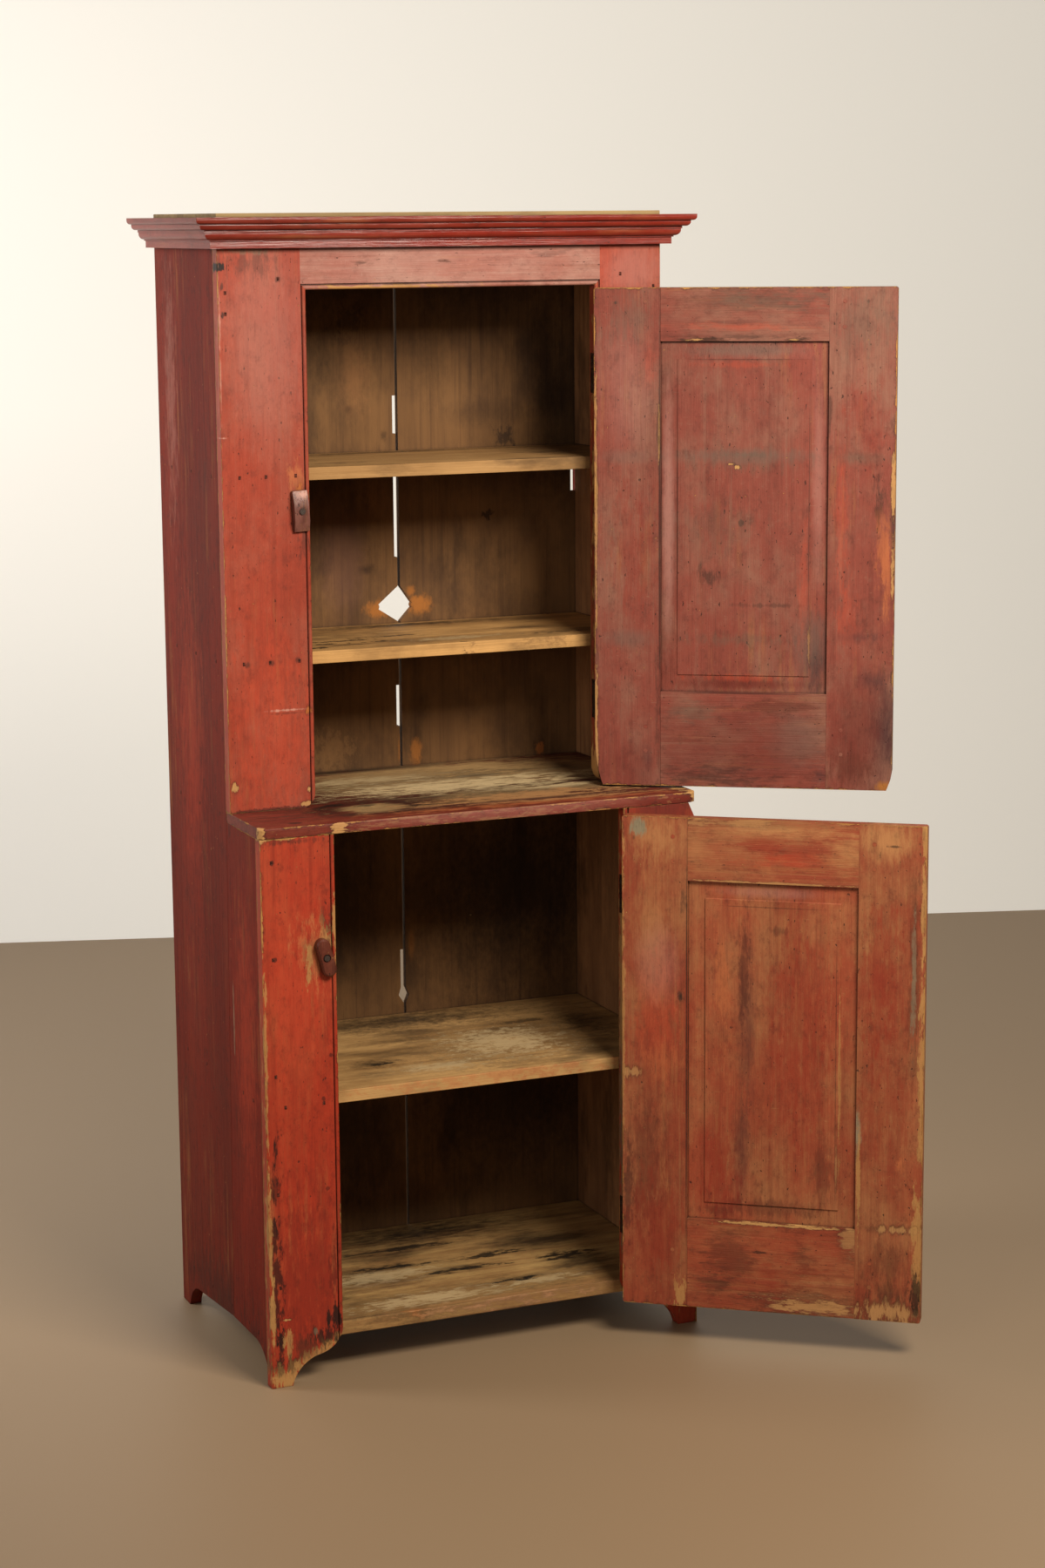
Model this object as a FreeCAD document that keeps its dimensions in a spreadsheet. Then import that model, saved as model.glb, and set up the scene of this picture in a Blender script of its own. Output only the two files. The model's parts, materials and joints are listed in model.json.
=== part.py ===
import FreeCAD, Part
import math
import os
import Sketcher

# One-piece stepback cupboard, in millimetres.
# X runs along the front to the right, Y from front to back, Z up from the floor.
# The pieces are drawn about the middle of the case's footprint on the floor, and
# then moved so that the origin is the footprint's left front corner.

# Driving sizes. A height is counted from the floor, and a drop from the top of its part
SIZES = {
    # Carcase
    "case_width": 750,
    "case_depth": 470,
    "case_height": 1833,
    "setback": 142,
    "waist_height": 903,
    "side_thick": 20,
    "frame_thick": 21,
    "top_thick": 23,
    "waist_thick": 17,
    "shelf_thick": 20,
    "bottom_thick": 22,
    "back_thick": 12,
    "back_recess": 20,
    "rabbet_depth": 10,
    "dado_depth": 6,
    "upper_shelf_height": 1440,
    "middle_shelf_height": 1149,
    "lower_shelf_height": 468,
    "bottom_height": 86,
    "bottom_back_width": 86,
    # Feet and the arch between them
    "seam_slant": 25,
    "arch_height": 59,
    "arch_back_height": 43,
    "arch_back_reach": 92,
    "arch_front_reach": 85,
    "arch_front_drop": 27,
    "arch_front_radius": 75,
    "back_toe": 37,
    "back_toe_radius": 60,
    "foot_width": 35,
    "foot_step": 50,
    "foot_step_height": 47,
    "foot_low_radius": 62,
    "foot_knee_height": 86,
    "foot_knee_radius": 48,
    # Face frames
    "upper_rail_height": 94,
    "worn_rise": 30,
    "worn_run": 17,
    "worn_radius": 30,
    "bead_radius": 3.5,
    "quirk_width": 2,
    "frame_tenon_long": 40,
    "frame_tenon_inset": 6,
    # Broken and worn corners
    "waist_chip": 5,
    "waist_break_in": 12,
    "waist_break_step": 4,
    "waist_break_deep": 14,
    "stile_break_in": 17,
    "stile_break_step": 8,
    "stile_break_deep": 40,
    "board_break_in": 20,
    "door_corner_radius": 4,
    "door_chip_in": 9,
    "door_chip_step": 3,
    "door_chip_deep": 32,
    "door_rub_rise": 72,
    "door_rub_run": 12,
    "door_rub_radius": 230,
    # Cornice, outwards from the case and down from its top
    "cornice_set_down": 6,
    "cornice_reach": 45,
    "cornice_drop": 47,
    "crown_fillet": 4,
    "crown_bead_radius": 6,
    "crown_band": 2,
    "crown_radius": 7,
    "crown_step": 1.5,
    "bed_set_in": 3.5,
    "bed_fillet": 4,
    "bed_quirk": 2,
    "bed_radius": 9,
    "bed_lip": 2,
    "bed_lip_step": 2.5,
    # Doors
    "door_thick": 20,
    "hinge_gap": 2.5,
    "upper_close_gap": 4.5,
    "lower_close_gap": 3.5,
    "upper_top_gap": 4,
    "upper_foot_gap": 3,
    "lower_top_gap": 6,
    "upper_rail_top": 85,
    "upper_rail_foot": 156,
    "lower_rail_top": 103,
    "lower_rail_foot": 151,
    "tongue_thick": 7,
    "groove_depth": 9,
    "panel_play": 1,
    "panel_margin": 28,
    "upper_bevel_rise": 5,
    "upper_field_rise": 1,
    "lower_field_rise": 2,
    "tenon_long": 60,
    "tenon_inset": 14,
    "peg_radius": 3.5,
    "peg_inset": 24,
    "peg_spread": 20,
    "peg_proud": 0.4,
    # Butt hinges
    "knuckle_radius": 4,
    "pin_radius": 2,
    "pin_play": 0.05,
    "pin_end": 1,
    "leaf_thick": 2,
    "leaf_depth": 22,
    "leaf_height": 64,
    "leaf_play": 0.2,
    "hinge_from_end": 105,
    # Turn buttons
    "button_play": 0.3,
    "button_width": 25,
    "button_thick": 12,
    "button_end_thick": 6,
    "upper_button_half": 32,
    "button_ridge_up": 12,
    "button_ridge_down": 14,
    "upper_button_from_edge": 17.5,
    "upper_button_height": 1375,
    "lower_button_half": 31,
    "lower_button_width": 23,
    "lower_button_from_edge": 20,
    "lower_button_height": 693,
    "button_round": 2.5,
    "button_sink_radius": 6.5,
    "button_sink_deep": 2,
    "button_screw_radius": 2.2,
    "button_screw_play": 0.1,
    "button_screw_long": 28,
    "button_head_radius": 4.6,
    "button_head_deep": 2.4,
    # Back boards
    "back_foot": 50,
    "back_seam": 30,
    "seam_play": 4.5,
    "seam_gap": 5,
    "gnawed_left": 35,
    "gnawed_right": 21,
    "gnawed_blunt": 4,
    "gnawed_round": 6,
    "small_hole_left": 9,
    "small_hole_right": 6,
    "broken_edge_in": 18,
    # Cut nails
    "nail_head_long": 5.5,
    "nail_head_wide": 4,
    "nail_head_deep": 1.2,
    "nail_proud": 0.4,
    "nail_long": 36,
    "nail_shank": 2.6,
    "nail_tip": 1.2,
    "upper_edge_nail_in": 12,
    "upper_edge_nail_first_drop": 97,
    "upper_edge_nail_second_drop": 129,
    "lower_edge_nail_in": 18,
    "lower_edge_nail_first_drop": 37,
    "lower_edge_nail_second_drop": 190,
    "lower_edge_nail_third_drop": 377,
    "lower_edge_nail_fourth_drop": 568,
    "lower_edge_nail_fifth_drop": 721,
    "joint_nail_in": 36,
    "joint_nail_drop": 77,
    "front_nail_near": 60,
    "front_nail_far": 110,
    "overrun": 5,
}

# Angles in degrees, as the photograph shows the doors and turn buttons
ANGLES = {
    "upper_door_angle": 147,
    "lower_door_angle": 143,
    "upper_button_angle": -3,
    "lower_button_angle": -15,
}

KNUCKLES = 3
PEG_SIDES = 8
TURN_BACK = FreeCAD.Rotation(FreeCAD.Vector(1, 0, 0), -90)
UPRIGHT = FreeCAD.Rotation()
NAIL_TURNS = {"back": 0, "front": 180, "right": -90, "left": 90}

# Widths of the stiles, as shares of the case's width
STILE_SHARES = {
    "upper_left": 0.1907,
    "upper_right": 0.1547,
    "lower_left": 0.1627,
    "lower_right": 0.1773,
    "door": 0.1427,
}

# Where nails stand: across a stile, along a side and across the back
UPPER_STILE_SHARES = (0.2, 0.5, 0.84)
LOWER_STILE_SHARES = (0.27, 0.79)
SIDE_SHARES = (0.12, 0.5, 0.88)
BACK_SHARES = (-0.9, -0.45, -0.1, 0.25, 0.55, 0.9)

# Low and high ends of the holes in the back, as shares of its height
OPEN_SEAM_SHARES = {
    "first": (0.264, 0.302),
    "second": (0.524, 0.564),
    "third": (0.688, 0.765),
    "fourth": (0.806, 0.842),
}
GNAWED_SHARES = (0.626, 0.641, 0.66)
SMALL_HOLE_SHARES = (0.248, 0.256)
BROKEN_EDGE_SHARES = (0.744, 0.765)

doc = FreeCAD.newDocument("stepback_cupboard")
nodes = []


class Size:
    """A length together with the sheet formula that gives it."""

    def __init__(self, value, formula):
        self.value = value
        self.formula = formula

    def __add__(self, other):
        return Size(self.value + other.value, f"({self.formula} + {other.formula})")

    def __sub__(self, other):
        return Size(self.value - other.value, f"({self.formula} - {other.formula})")

    def __mul__(self, share):
        return Size(self.value * share, f"{self.formula} * {share}")

    def __truediv__(self, share):
        return Size(self.value / share, f"{self.formula} / {share}")

    def __neg__(self):
        return Size(-self.value, f"(0 - {self.formula})")


def make_sheet():
    """Fill the sheet with the driving sizes and angles and give each cell its alias."""
    sheet = doc.addObject("Spreadsheet::Sheet", "Sizes")
    for row, (name, value) in enumerate({**SIZES, **ANGLES}.items(), start=1):
        sheet.set(f"A{row}", name)
        sheet.set(f"B{row}", str(value))
        sheet.setAlias(f"B{row}", name)
    doc.recompute()


def size(name):
    """The driving size of that name."""
    return Size(float(SIZES[name]), f"Sizes.{name}")


ZERO = Size(0.0, "0")


# Solids from primitives

def block(name, x, y, z):
    """A rectangular piece between a low and a high limit along each axis."""
    piece = doc.addObject("Part::Box", name)
    for side, letter, (low, high) in (("Length", "x", x), ("Width", "y", y), ("Height", "z", z)):
        piece.setExpression(side, (high - low).formula)
        piece.setExpression(f"Placement.Base.{letter}", low.formula)
    return piece


def place(piece, x, y, z):
    """Bind the piece's position to three lengths."""
    for letter, length in (("x", x), ("y", y), ("z", z)):
        piece.setExpression(f"Placement.Base.{letter}", length.formula)


def rod(name, start, turn, radius, length):
    """A cylinder from a start point along the direction that the turn gives."""
    piece = doc.addObject("Part::Cylinder", name)
    piece.Placement = FreeCAD.Placement(FreeCAD.Vector(), turn)
    piece.setExpression("Radius", radius.formula)
    piece.setExpression("Height", length.formula)
    place(piece, *start)
    return piece


def whittled_peg(name, start, turn, radius, length):
    """An eight-sided peg from a start point along the direction that the turn gives."""
    piece = doc.addObject("Part::Prism", name)
    piece.Polygon = PEG_SIDES
    piece.Placement = FreeCAD.Placement(FreeCAD.Vector(), turn)
    piece.setExpression("Circumradius", radius.formula)
    piece.setExpression("Height", length.formula)
    place(piece, *start)
    return piece


def frustum(name, y, base_x, base_z, top_x, top_z):
    """A four-sided frustum along Y, from a base rectangle to a top rectangle."""
    piece = doc.addObject("Part::Wedge", name)
    limits = {
        "Xmin": base_x[0], "Xmax": base_x[1], "Zmin": base_z[0], "Zmax": base_z[1],
        "X2min": top_x[0], "X2max": top_x[1], "Z2min": top_z[0], "Z2max": top_z[1],
        "Ymin": y[0], "Ymax": y[1],
    }
    for side, length in limits.items():
        setattr(piece, side, length.value)
        piece.setExpression(side, length.formula)
    return piece


def fuse(name, *pieces):
    """One solid out of pieces that touch."""
    whole = doc.addObject("Part::MultiFuse", name)
    whole.Shapes = list(pieces)
    return whole


def cut(name, base, *tools):
    """The base less all the tools."""
    tool = tools[0]
    if len(tools) > 1:
        tool = fuse(f"{name}_cuts", *tools)
    left = doc.addObject("Part::Cut", name)
    left.Base = base
    left.Tool = tool
    return left


def group(name, *pieces):
    """Separate solids that share one node."""
    together = doc.addObject("Part::Compound", name)
    together.Links = list(pieces)
    return together


def keep(piece, label):
    """Move a finished piece to the part's own frame and give it its name."""
    formulas = dict(piece.ExpressionEngine)
    for letter, shift in (("x", half_width), ("y", -front)):
        where = f"Placement.Base.{letter}"
        drawn = formulas.get(where) or formulas.get(f".{where}") or ZERO.formula
        piece.setExpression(where, f"{drawn} + {shift.formula}")
    piece.Label = label
    nodes.append(piece)
    return piece


# Solids from sketches

def arc_between(start, end, radius, side):
    """A minor arc whose centre lies on the given side of travel, 1 for left."""
    half = (end - start) * 0.5
    left = FreeCAD.Vector(-half.y, half.x, 0).normalize()
    reach = math.sqrt(max(0.0, radius ** 2 - half.Length ** 2))
    centre = start + half + left * reach * side
    first, last = (start, end) if side > 0 else (end, start)
    angles = [math.atan2(point.y - centre.y, point.x - centre.x) for point in (first, last)]
    circle = Part.Circle(centre, FreeCAD.Vector(0, 0, 1), radius)
    return Part.ArcOfCircle(circle, angles[0], angles[1])


def bind(drawing, kind, edge, end, length):
    """Hold one coordinate of an edge's end at a length from the origin."""
    rule = Sketcher.Constraint(kind, -1, 1, edge, end, length.value)
    index = drawing.addConstraint(rule)
    drawing.setExpression(f"Constraints[{index}]", length.formula)


def draw(drawing, corners):
    """A closed outline. A corner is (x, y), or (x, y, radius, side) after an arc."""
    points = [FreeCAD.Vector(corner[0].value, corner[1].value, 0) for corner in corners]
    edges = []
    for index, start in enumerate(points):
        following = (index + 1) % len(points)
        corner = corners[following]
        end = points[following]
        if len(corner) == 2:
            edge = drawing.addGeometry(Part.LineSegment(start, end), False)
            edges.append((edge, 1, 2))
        else:
            radius, side = corner[2], corner[3]
            edge = drawing.addGeometry(arc_between(start, end, radius.value, side), False)
            edges.append((edge, 1, 2) if side > 0 else (edge, 2, 1))
    for index, (edge, start, end) in enumerate(edges):
        after, after_start, _ = edges[(index + 1) % len(edges)]
        drawing.addConstraint(Sketcher.Constraint("Coincident", edge, end, after, after_start))
        bind(drawing, "DistanceX", edge, start, corners[index][0])
        bind(drawing, "DistanceY", edge, start, corners[index][1])
    for index, (edge, _, _) in enumerate(edges):
        corner = corners[(index + 1) % len(corners)]
        if len(corner) == 4:
            rule = Sketcher.Constraint("Radius", edge, corner[2].value)
            place_in_list = drawing.addConstraint(rule)
            drawing.setExpression(f"Constraints[{place_in_list}]", corner[2].formula)


def sketch(body, plane, height, *outlines):
    """A sketch on one of the body's own planes, raised along the plane's normal."""
    drawing = body.newObject("Sketcher::SketchObject", f"{body.Name}_outline")
    base = [feature for feature in body.Origin.OriginFeatures if feature.Role == plane][0]
    drawing.AttachmentSupport = [(base, "")]
    drawing.MapMode = "FlatFace"
    drawing.setExpression("AttachmentOffset.Base.z", height.formula)
    for corners in outlines:
        draw(drawing, corners)
    return drawing


def pad(body, drawing, length, reverse=False):
    """Raise a sketch into a solid."""
    feature = body.newObject("PartDesign::Pad", f"{body.Name}_pad")
    feature.Profile = drawing
    feature.Reversed = reverse
    feature.setExpression("Length", length.formula)
    return feature


def pocket(body, drawing, length, reverse=False):
    """Sink a sketch into the body, against its normal unless reversed."""
    feature = body.newObject("PartDesign::Pocket", f"{body.Name}_pocket")
    feature.Profile = drawing
    feature.Reversed = reverse
    feature.setExpression("Length", length.formula)
    return feature


def front_piece(name, corners, front, thick):
    """A board drawn in front view, from its front face backwards."""
    body = doc.addObject("PartDesign::Body", name)
    pad(body, sketch(body, "XZ_Plane", -front, corners), thick, reverse=True)
    return body


def side_piece(name, corners, low_x, thick):
    """A board drawn in side view, from its low X face to the right."""
    body = doc.addObject("PartDesign::Body", name)
    pad(body, sketch(body, "YZ_Plane", low_x, corners), thick)
    return body


def flat_piece(name, corners, low_z, thick):
    """A board drawn in plan, from its underside up."""
    body = doc.addObject("PartDesign::Body", name)
    pad(body, sketch(body, "XY_Plane", low_z, corners), thick)
    return body


def rectangle(first, second):
    """The corners of a rectangle between two limits each way."""
    return [(first[0], second[0]), (first[1], second[0]), (first[1], second[1]), (first[0], second[1])]


# Planes that many pieces share

make_sheet()
half_width = size("case_width") / 2
front = -size("case_depth") / 2
back = size("case_depth") / 2
frame_back = front + size("frame_thick")
upper_front = front + size("setback")
upper_frame_back = upper_front + size("frame_thick")
inner_half = half_width - size("side_thick")
dado_half = inner_half + size("dado_depth")
rabbet_half = inner_half + size("rabbet_depth")
back_face = back - size("back_recess") - size("back_thick")
case_top = size("case_height")
sides_top = case_top - size("top_thick")
upper_open_top = sides_top - size("upper_rail_height")
waist_top = size("waist_height")
waist_under = waist_top - size("waist_thick")
bottom_top = size("bottom_height")
bottom_under = bottom_top - size("bottom_thick")
bead_width = size("bead_radius") * 2 + size("quirk_width")
over = size("overrun")
axis_out = size("knuckle_radius")
half_gap = size("hinge_gap") / 2

stile_width = {name: size("case_width") * share for name, share in STILE_SHARES.items()}

# The edges of the two openings
OPENING = {
    "upper_left": stile_width["upper_left"] - half_width,
    "upper_right": half_width - stile_width["upper_right"],
    "lower_left": stile_width["lower_left"] - half_width,
    "lower_right": half_width - stile_width["lower_right"],
}

SHELF_TOPS = {
    "upper_shelf": size("upper_shelf_height"),
    "middle_shelf": size("middle_shelf_height"),
    "lower_shelf": size("lower_shelf_height"),
}


# Sides, shelves, waist board, bottom and top

def side_board(label, side):
    """A full-height side board with its rabbet and dadoes. side is -1 for left."""
    low_x = -half_width if side < 0 else inner_half
    seam_foot = upper_frame_back + size("seam_slant")
    corners = [
        (back, ZERO),
        (back, sides_top),
        (upper_frame_back, sides_top),
        (upper_frame_back, waist_under),
        (seam_foot, size("arch_height")),
        (back - size("arch_back_reach"), size("arch_back_height")),
        (back - size("back_toe"), ZERO, size("back_toe_radius"), -1),
    ]
    body = side_piece(label, corners, low_x, size("side_thick"))
    inner_face = inner_half if side > 0 else -inner_half
    rabbet = rectangle((back_face, back + over), (size("back_foot"), sides_top + over))
    rabbet_drawing = sketch(body, "YZ_Plane", inner_face, rabbet)
    pocket(body, rabbet_drawing, size("rabbet_depth"), reverse=side > 0)
    housings = [(top - size("shelf_thick"), top) for top in SHELF_TOPS.values()]
    housings += [(waist_under, waist_top), (bottom_under, bottom_top)]
    dadoes = [rectangle((front, back_face), height) for height in housings]
    dado_drawing = sketch(body, "YZ_Plane", inner_face, *dadoes)
    pocket(body, dado_drawing, size("dado_depth"), reverse=side > 0)
    return keep(body, label)


def side_front_board(label, side):
    """The narrower board that widens the side below the waist."""
    low_x = -half_width if side < 0 else inner_half
    top_front = [(frame_back, waist_under)]
    if side > 0:
        top_front = [
            (frame_back + size("board_break_in"), waist_under),
            (frame_back, waist_under - size("stile_break_deep")),
        ]
    corners = [
        (upper_frame_back, waist_under),
        *top_front,
        (frame_back, size("arch_height") - size("arch_front_drop")),
        (front + size("arch_front_reach"), size("arch_height"), size("arch_front_radius"), -1),
        (upper_frame_back + size("seam_slant"), size("arch_height")),
    ]
    body = side_piece(label, corners, low_x, size("side_thick"))
    inner_face = inner_half if side > 0 else -inner_half
    shelf_top = SHELF_TOPS["lower_shelf"]
    dadoes = [
        rectangle((front, back_face), (shelf_top - size("shelf_thick"), shelf_top)),
        rectangle((front, back_face), (bottom_under, bottom_top)),
    ]
    drawing = sketch(body, "YZ_Plane", inner_face, *dadoes)
    pocket(body, drawing, size("dado_depth"), reverse=side > 0)
    return keep(body, label)


def shelves():
    """Shelves housed in the sides, from the face frame to the back boards."""
    for label, top in SHELF_TOPS.items():
        shelf_front = frame_back if label == "lower_shelf" else upper_frame_back
        height = (top - size("shelf_thick"), top)
        keep(block(label, (-dado_half, dado_half), (shelf_front, back_face), height), label)


def waist_board():
    """The step: full width in front, notched round the sides behind, with worn front corners."""
    chip = size("waist_chip")
    broken = size("waist_break_in")
    step = size("waist_break_step")
    corners = [
        (-half_width, front + chip),
        (chip - half_width, front),
        (half_width - broken, front),
        (half_width - step, front + broken / 2),
        (half_width, front + size("waist_break_deep")),
        (half_width, upper_frame_back),
        (dado_half, upper_frame_back),
        (dado_half, back_face),
        (-dado_half, back_face),
        (-dado_half, upper_frame_back),
        (-half_width, upper_frame_back),
    ]
    keep(flat_piece("waist_board", corners, waist_under, size("waist_thick")), "waist_board")


def bottom_boards():
    """Two boards side by side make the floor of the lower part."""
    seam = back_face - size("bottom_back_width")
    height = (bottom_under, bottom_top)
    depths = {"bottom_front_board": (frame_back, seam), "bottom_back_board": (seam, back_face)}
    for label, depth in depths.items():
        keep(block(label, (-dado_half, dado_half), depth, height), label)


def top_board():
    """The board that closes the case, over the sides and the frame."""
    height = (sides_top, case_top)
    keep(block("top_board", (-half_width, half_width), (upper_front, back), height), "top_board")


# Back boards with the gnawed holes and the open seam

def up_the_back(share):
    """A height on the back boards, as a share of their length."""
    foot = size("back_foot")
    return foot + (sides_top - foot) * share


def open_seam(stretch):
    """One stretch where the left board's edge is split away from the seam."""
    edge = size("back_seam") - size("seam_play")
    away = edge - size("seam_gap")
    low, high = [up_the_back(share) for share in OPEN_SEAM_SHARES[stretch]]
    gap = [(away, low), (away, high), (edge, high)]
    # The first stretch runs on down into the small hole
    return gap if stretch == "first" else [(edge, low)] + gap


def gnawed_corner(edge, reach, side):
    """The gnawed hole's outline on one board, drawn upwards, with its far corner rounded."""
    low, middle, high = [up_the_back(share) for share in GNAWED_SHARES]
    far = edge + reach * side
    blunt = size("gnawed_blunt")
    return [
        (edge, low),
        (far, middle - blunt),
        (far, middle + blunt, size("gnawed_round"), -side),
        (edge, high),
    ]


def back_boards():
    """Two wide upright boards that meet in a seam right of the middle."""
    right_edge = size("back_seam")
    left_edge = right_edge - size("seam_play")
    foot = size("back_foot")
    hole_foot, hole_middle = [up_the_back(share) for share in SMALL_HOLE_SHARES]
    hole_top = up_the_back(OPEN_SEAM_SHARES["first"][0])
    left = [(-rabbet_half, foot), (left_edge, foot), (left_edge, hole_foot)]
    left += [(left_edge - size("small_hole_left"), hole_middle)]
    left += open_seam("first") + open_seam("second")
    left += gnawed_corner(left_edge, size("gnawed_left"), -1)
    left += open_seam("third") + open_seam("fourth")
    left += [(left_edge, sides_top), (-rabbet_half, sides_top)]
    keep(front_piece("back_board_left", left, back_face, size("back_thick")), "back_board_left")
    broken = rabbet_half - size("broken_edge_in")
    broken_low, broken_high = [up_the_back(share) for share in BROKEN_EDGE_SHARES]
    right = [
        (right_edge, foot),
        (right_edge, hole_foot),
        (right_edge + size("small_hole_right"), hole_middle),
        (right_edge, hole_top),
    ]
    right += gnawed_corner(right_edge, size("gnawed_right"), 1)
    right += [
        (right_edge, sides_top),
        (rabbet_half, sides_top),
        (rabbet_half, broken_high),
        (broken, broken_high),
        (broken, broken_low),
        (rabbet_half, broken_low),
        (rabbet_half, foot),
    ]
    keep(front_piece("back_board_right", right, back_face, size("back_thick")), "back_board_right")


# Face frames with a quirked bead round each opening

def bead_waste(edge, side, face):
    """What the bead plane takes off a stile's edge, in plan. side points to the opening."""
    radius = size("bead_radius")
    root = edge - bead_width * side
    return [
        (root, face - over),
        (root, face + radius),
        (edge - radius * (2 * side), face + radius),
        (edge - radius * side, face, radius, side),
        (edge, face + radius, radius, side),
        (edge + over * side, face + radius),
        (edge + over * side, face - over),
    ]


def cut_bead(body, edge, side, foot, top, face):
    """Run a bead along the whole of a stile's inner edge."""
    waste = bead_waste(edge, side, face)
    pocket(body, sketch(body, "XY_Plane", foot, waste), top - foot, reverse=True)


def hinge_feet(door):
    """The low end of each hinge of a door."""
    foot, top = door_heights(door)
    inset = size("hinge_from_end")
    return [foot + inset, top - inset - size("leaf_height")]


def sink_frame_leaves(body, door, edge, face):
    """Sink a hinge leaf's seat into a stile's inner edge for each hinge."""
    depth = size("leaf_depth") - axis_out
    seats = []
    for foot in hinge_feet(door):
        seats.append(rectangle((edge, edge + size("leaf_thick")), (foot, foot + size("leaf_height"))))
    pocket(body, sketch(body, "XZ_Plane", -face, *seats), depth)


def upper_stile(label, side):
    """An upper stile, with the bead's mitre and the mortise for the rail."""
    edge = OPENING["upper_right"] if side > 0 else OPENING["upper_left"]
    inward = -side
    outer = half_width * side
    head = upper_open_top
    shoulder = edge + bead_width * side
    corners = [
        (outer, waist_top),
        (edge + size("worn_run") * side, waist_top),
        (edge, waist_top + size("worn_rise"), size("worn_radius"), inward),
        (edge, head),
        (shoulder, head + bead_width),
        (shoulder, sides_top),
        (outer, sides_top),
    ]
    body = front_piece(label, corners, upper_front, size("frame_thick"))
    cut_bead(body, edge, inward, waist_top, sides_top, upper_front)
    tenon_y, tenon_z = frame_tenon()
    mortise = sketch(body, "YZ_Plane", shoulder, rectangle(tenon_y, tenon_z))
    pocket(body, mortise, size("frame_tenon_long"), reverse=side > 0)
    if side > 0:
        sink_frame_leaves(body, "upper", edge, upper_front)
    return keep(body, label)


def frame_tenon():
    """The depth and height limits of the tenon between top rail and stile."""
    middle = upper_front + size("frame_thick") / 2
    half = size("tongue_thick") / 2
    inset = size("frame_tenon_inset")
    low = upper_open_top + bead_width + inset
    return (middle - half, middle + half), (low, sides_top - inset)


def upper_top_rail():
    """The rail over the upper opening, its bead mitred to those of the stiles."""
    left = OPENING["upper_left"]
    right = OPENING["upper_right"]
    head = upper_open_top
    radius = size("bead_radius")
    corners = [
        (left, head),
        (right, head),
        (right + bead_width, head + bead_width),
        (right + bead_width, sides_top),
        (left - bead_width, sides_top),
        (left - bead_width, head + bead_width),
    ]
    body = front_piece("upper_top_rail", corners, upper_front, size("frame_thick"))
    waste = [
        (upper_front - over, head + bead_width),
        (upper_front + radius, head + bead_width),
        (upper_front + radius, head + radius * 2),
        (upper_front, head + radius, radius, 1),
        (upper_front + radius, head, radius, 1),
        (upper_front + radius, head - over),
        (upper_front - over, head - over),
    ]
    start = left - bead_width - over
    run = right - left + (bead_width + over) * 2
    pocket(body, sketch(body, "YZ_Plane", start, waste), run, reverse=True)
    tenon = rectangle(*frame_tenon())
    pad(body, sketch(body, "YZ_Plane", right + bead_width, tenon), size("frame_tenon_long"))
    pad(body, sketch(body, "YZ_Plane", left - bead_width, tenon), size("frame_tenon_long"), reverse=True)
    keep(body, "upper_top_rail")


def lower_stile(label, side):
    """A lower stile whose foot is sawn to an ogee bracket."""
    edge = OPENING["lower_right"] if side > 0 else OPENING["lower_left"]
    inward = -side
    outer = half_width * side
    top_corner = [(outer, waist_under)]
    if side > 0:
        top_corner = [
            (outer - size("stile_break_in"), waist_under),
            (outer - size("stile_break_step"), waist_under - size("stile_break_deep") / 2),
            (outer, waist_under - size("stile_break_deep")),
        ]
    corners = [
        (outer, ZERO),
        (outer - size("foot_width") * side, ZERO),
        (outer - (size("foot_width") + size("foot_step")) * side, size("foot_step_height"),
         size("foot_low_radius"), side),
        (edge, size("foot_knee_height"), size("foot_knee_radius"), -side),
        (edge, waist_under),
        *top_corner,
    ]
    body = front_piece(label, corners, front, size("frame_thick"))
    cut_bead(body, edge, inward, ZERO, waist_under, front)
    if side > 0:
        sink_frame_leaves(body, "lower", edge, front)
    return keep(body, label)


# Cornice

def cornice_profile(face, top, outward):
    """The crown and bed mouldings, outwards from a face and down from the top."""
    reach = face + size("cornice_reach") * outward
    bead_in = reach - size("crown_bead_radius") * outward
    crown_out = bead_in - size("crown_step") * outward
    crown_in = crown_out - size("crown_radius") * outward
    bed_out = crown_in - size("bed_set_in") * outward
    bed_edge = bed_out - size("crown_step") * outward
    bed_in = bed_edge - size("bed_radius") * outward
    lip = bed_in - size("bed_lip_step") * outward
    bead_start = top - size("crown_fillet")
    bead_end = bead_start - size("crown_bead_radius")
    crown_start = bead_end - size("crown_band")
    crown_end = crown_start - size("crown_radius")
    bed_fillet = crown_end - size("bed_fillet")
    bed_start = bed_fillet - size("bed_quirk")
    bed_end = bed_start - size("bed_radius")
    lip_end = bed_end - size("bed_lip")
    return [
        (face, top),
        (reach, top),
        (reach, bead_start),
        (bead_in, bead_end, size("crown_bead_radius"), -outward),
        (crown_out, bead_end),
        (crown_out, crown_start),
        (crown_in, crown_end, size("crown_radius"), -outward),
        (bed_out, crown_end),
        (bed_out, bed_fillet),
        (bed_edge, bed_fillet),
        (bed_edge, bed_start),
        (bed_in, bed_end, size("bed_radius"), -outward),
        (bed_in, lip_end),
        (lip, lip_end),
        (lip, top - size("cornice_drop")),
        (face, top - size("cornice_drop")),
    ]


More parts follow.
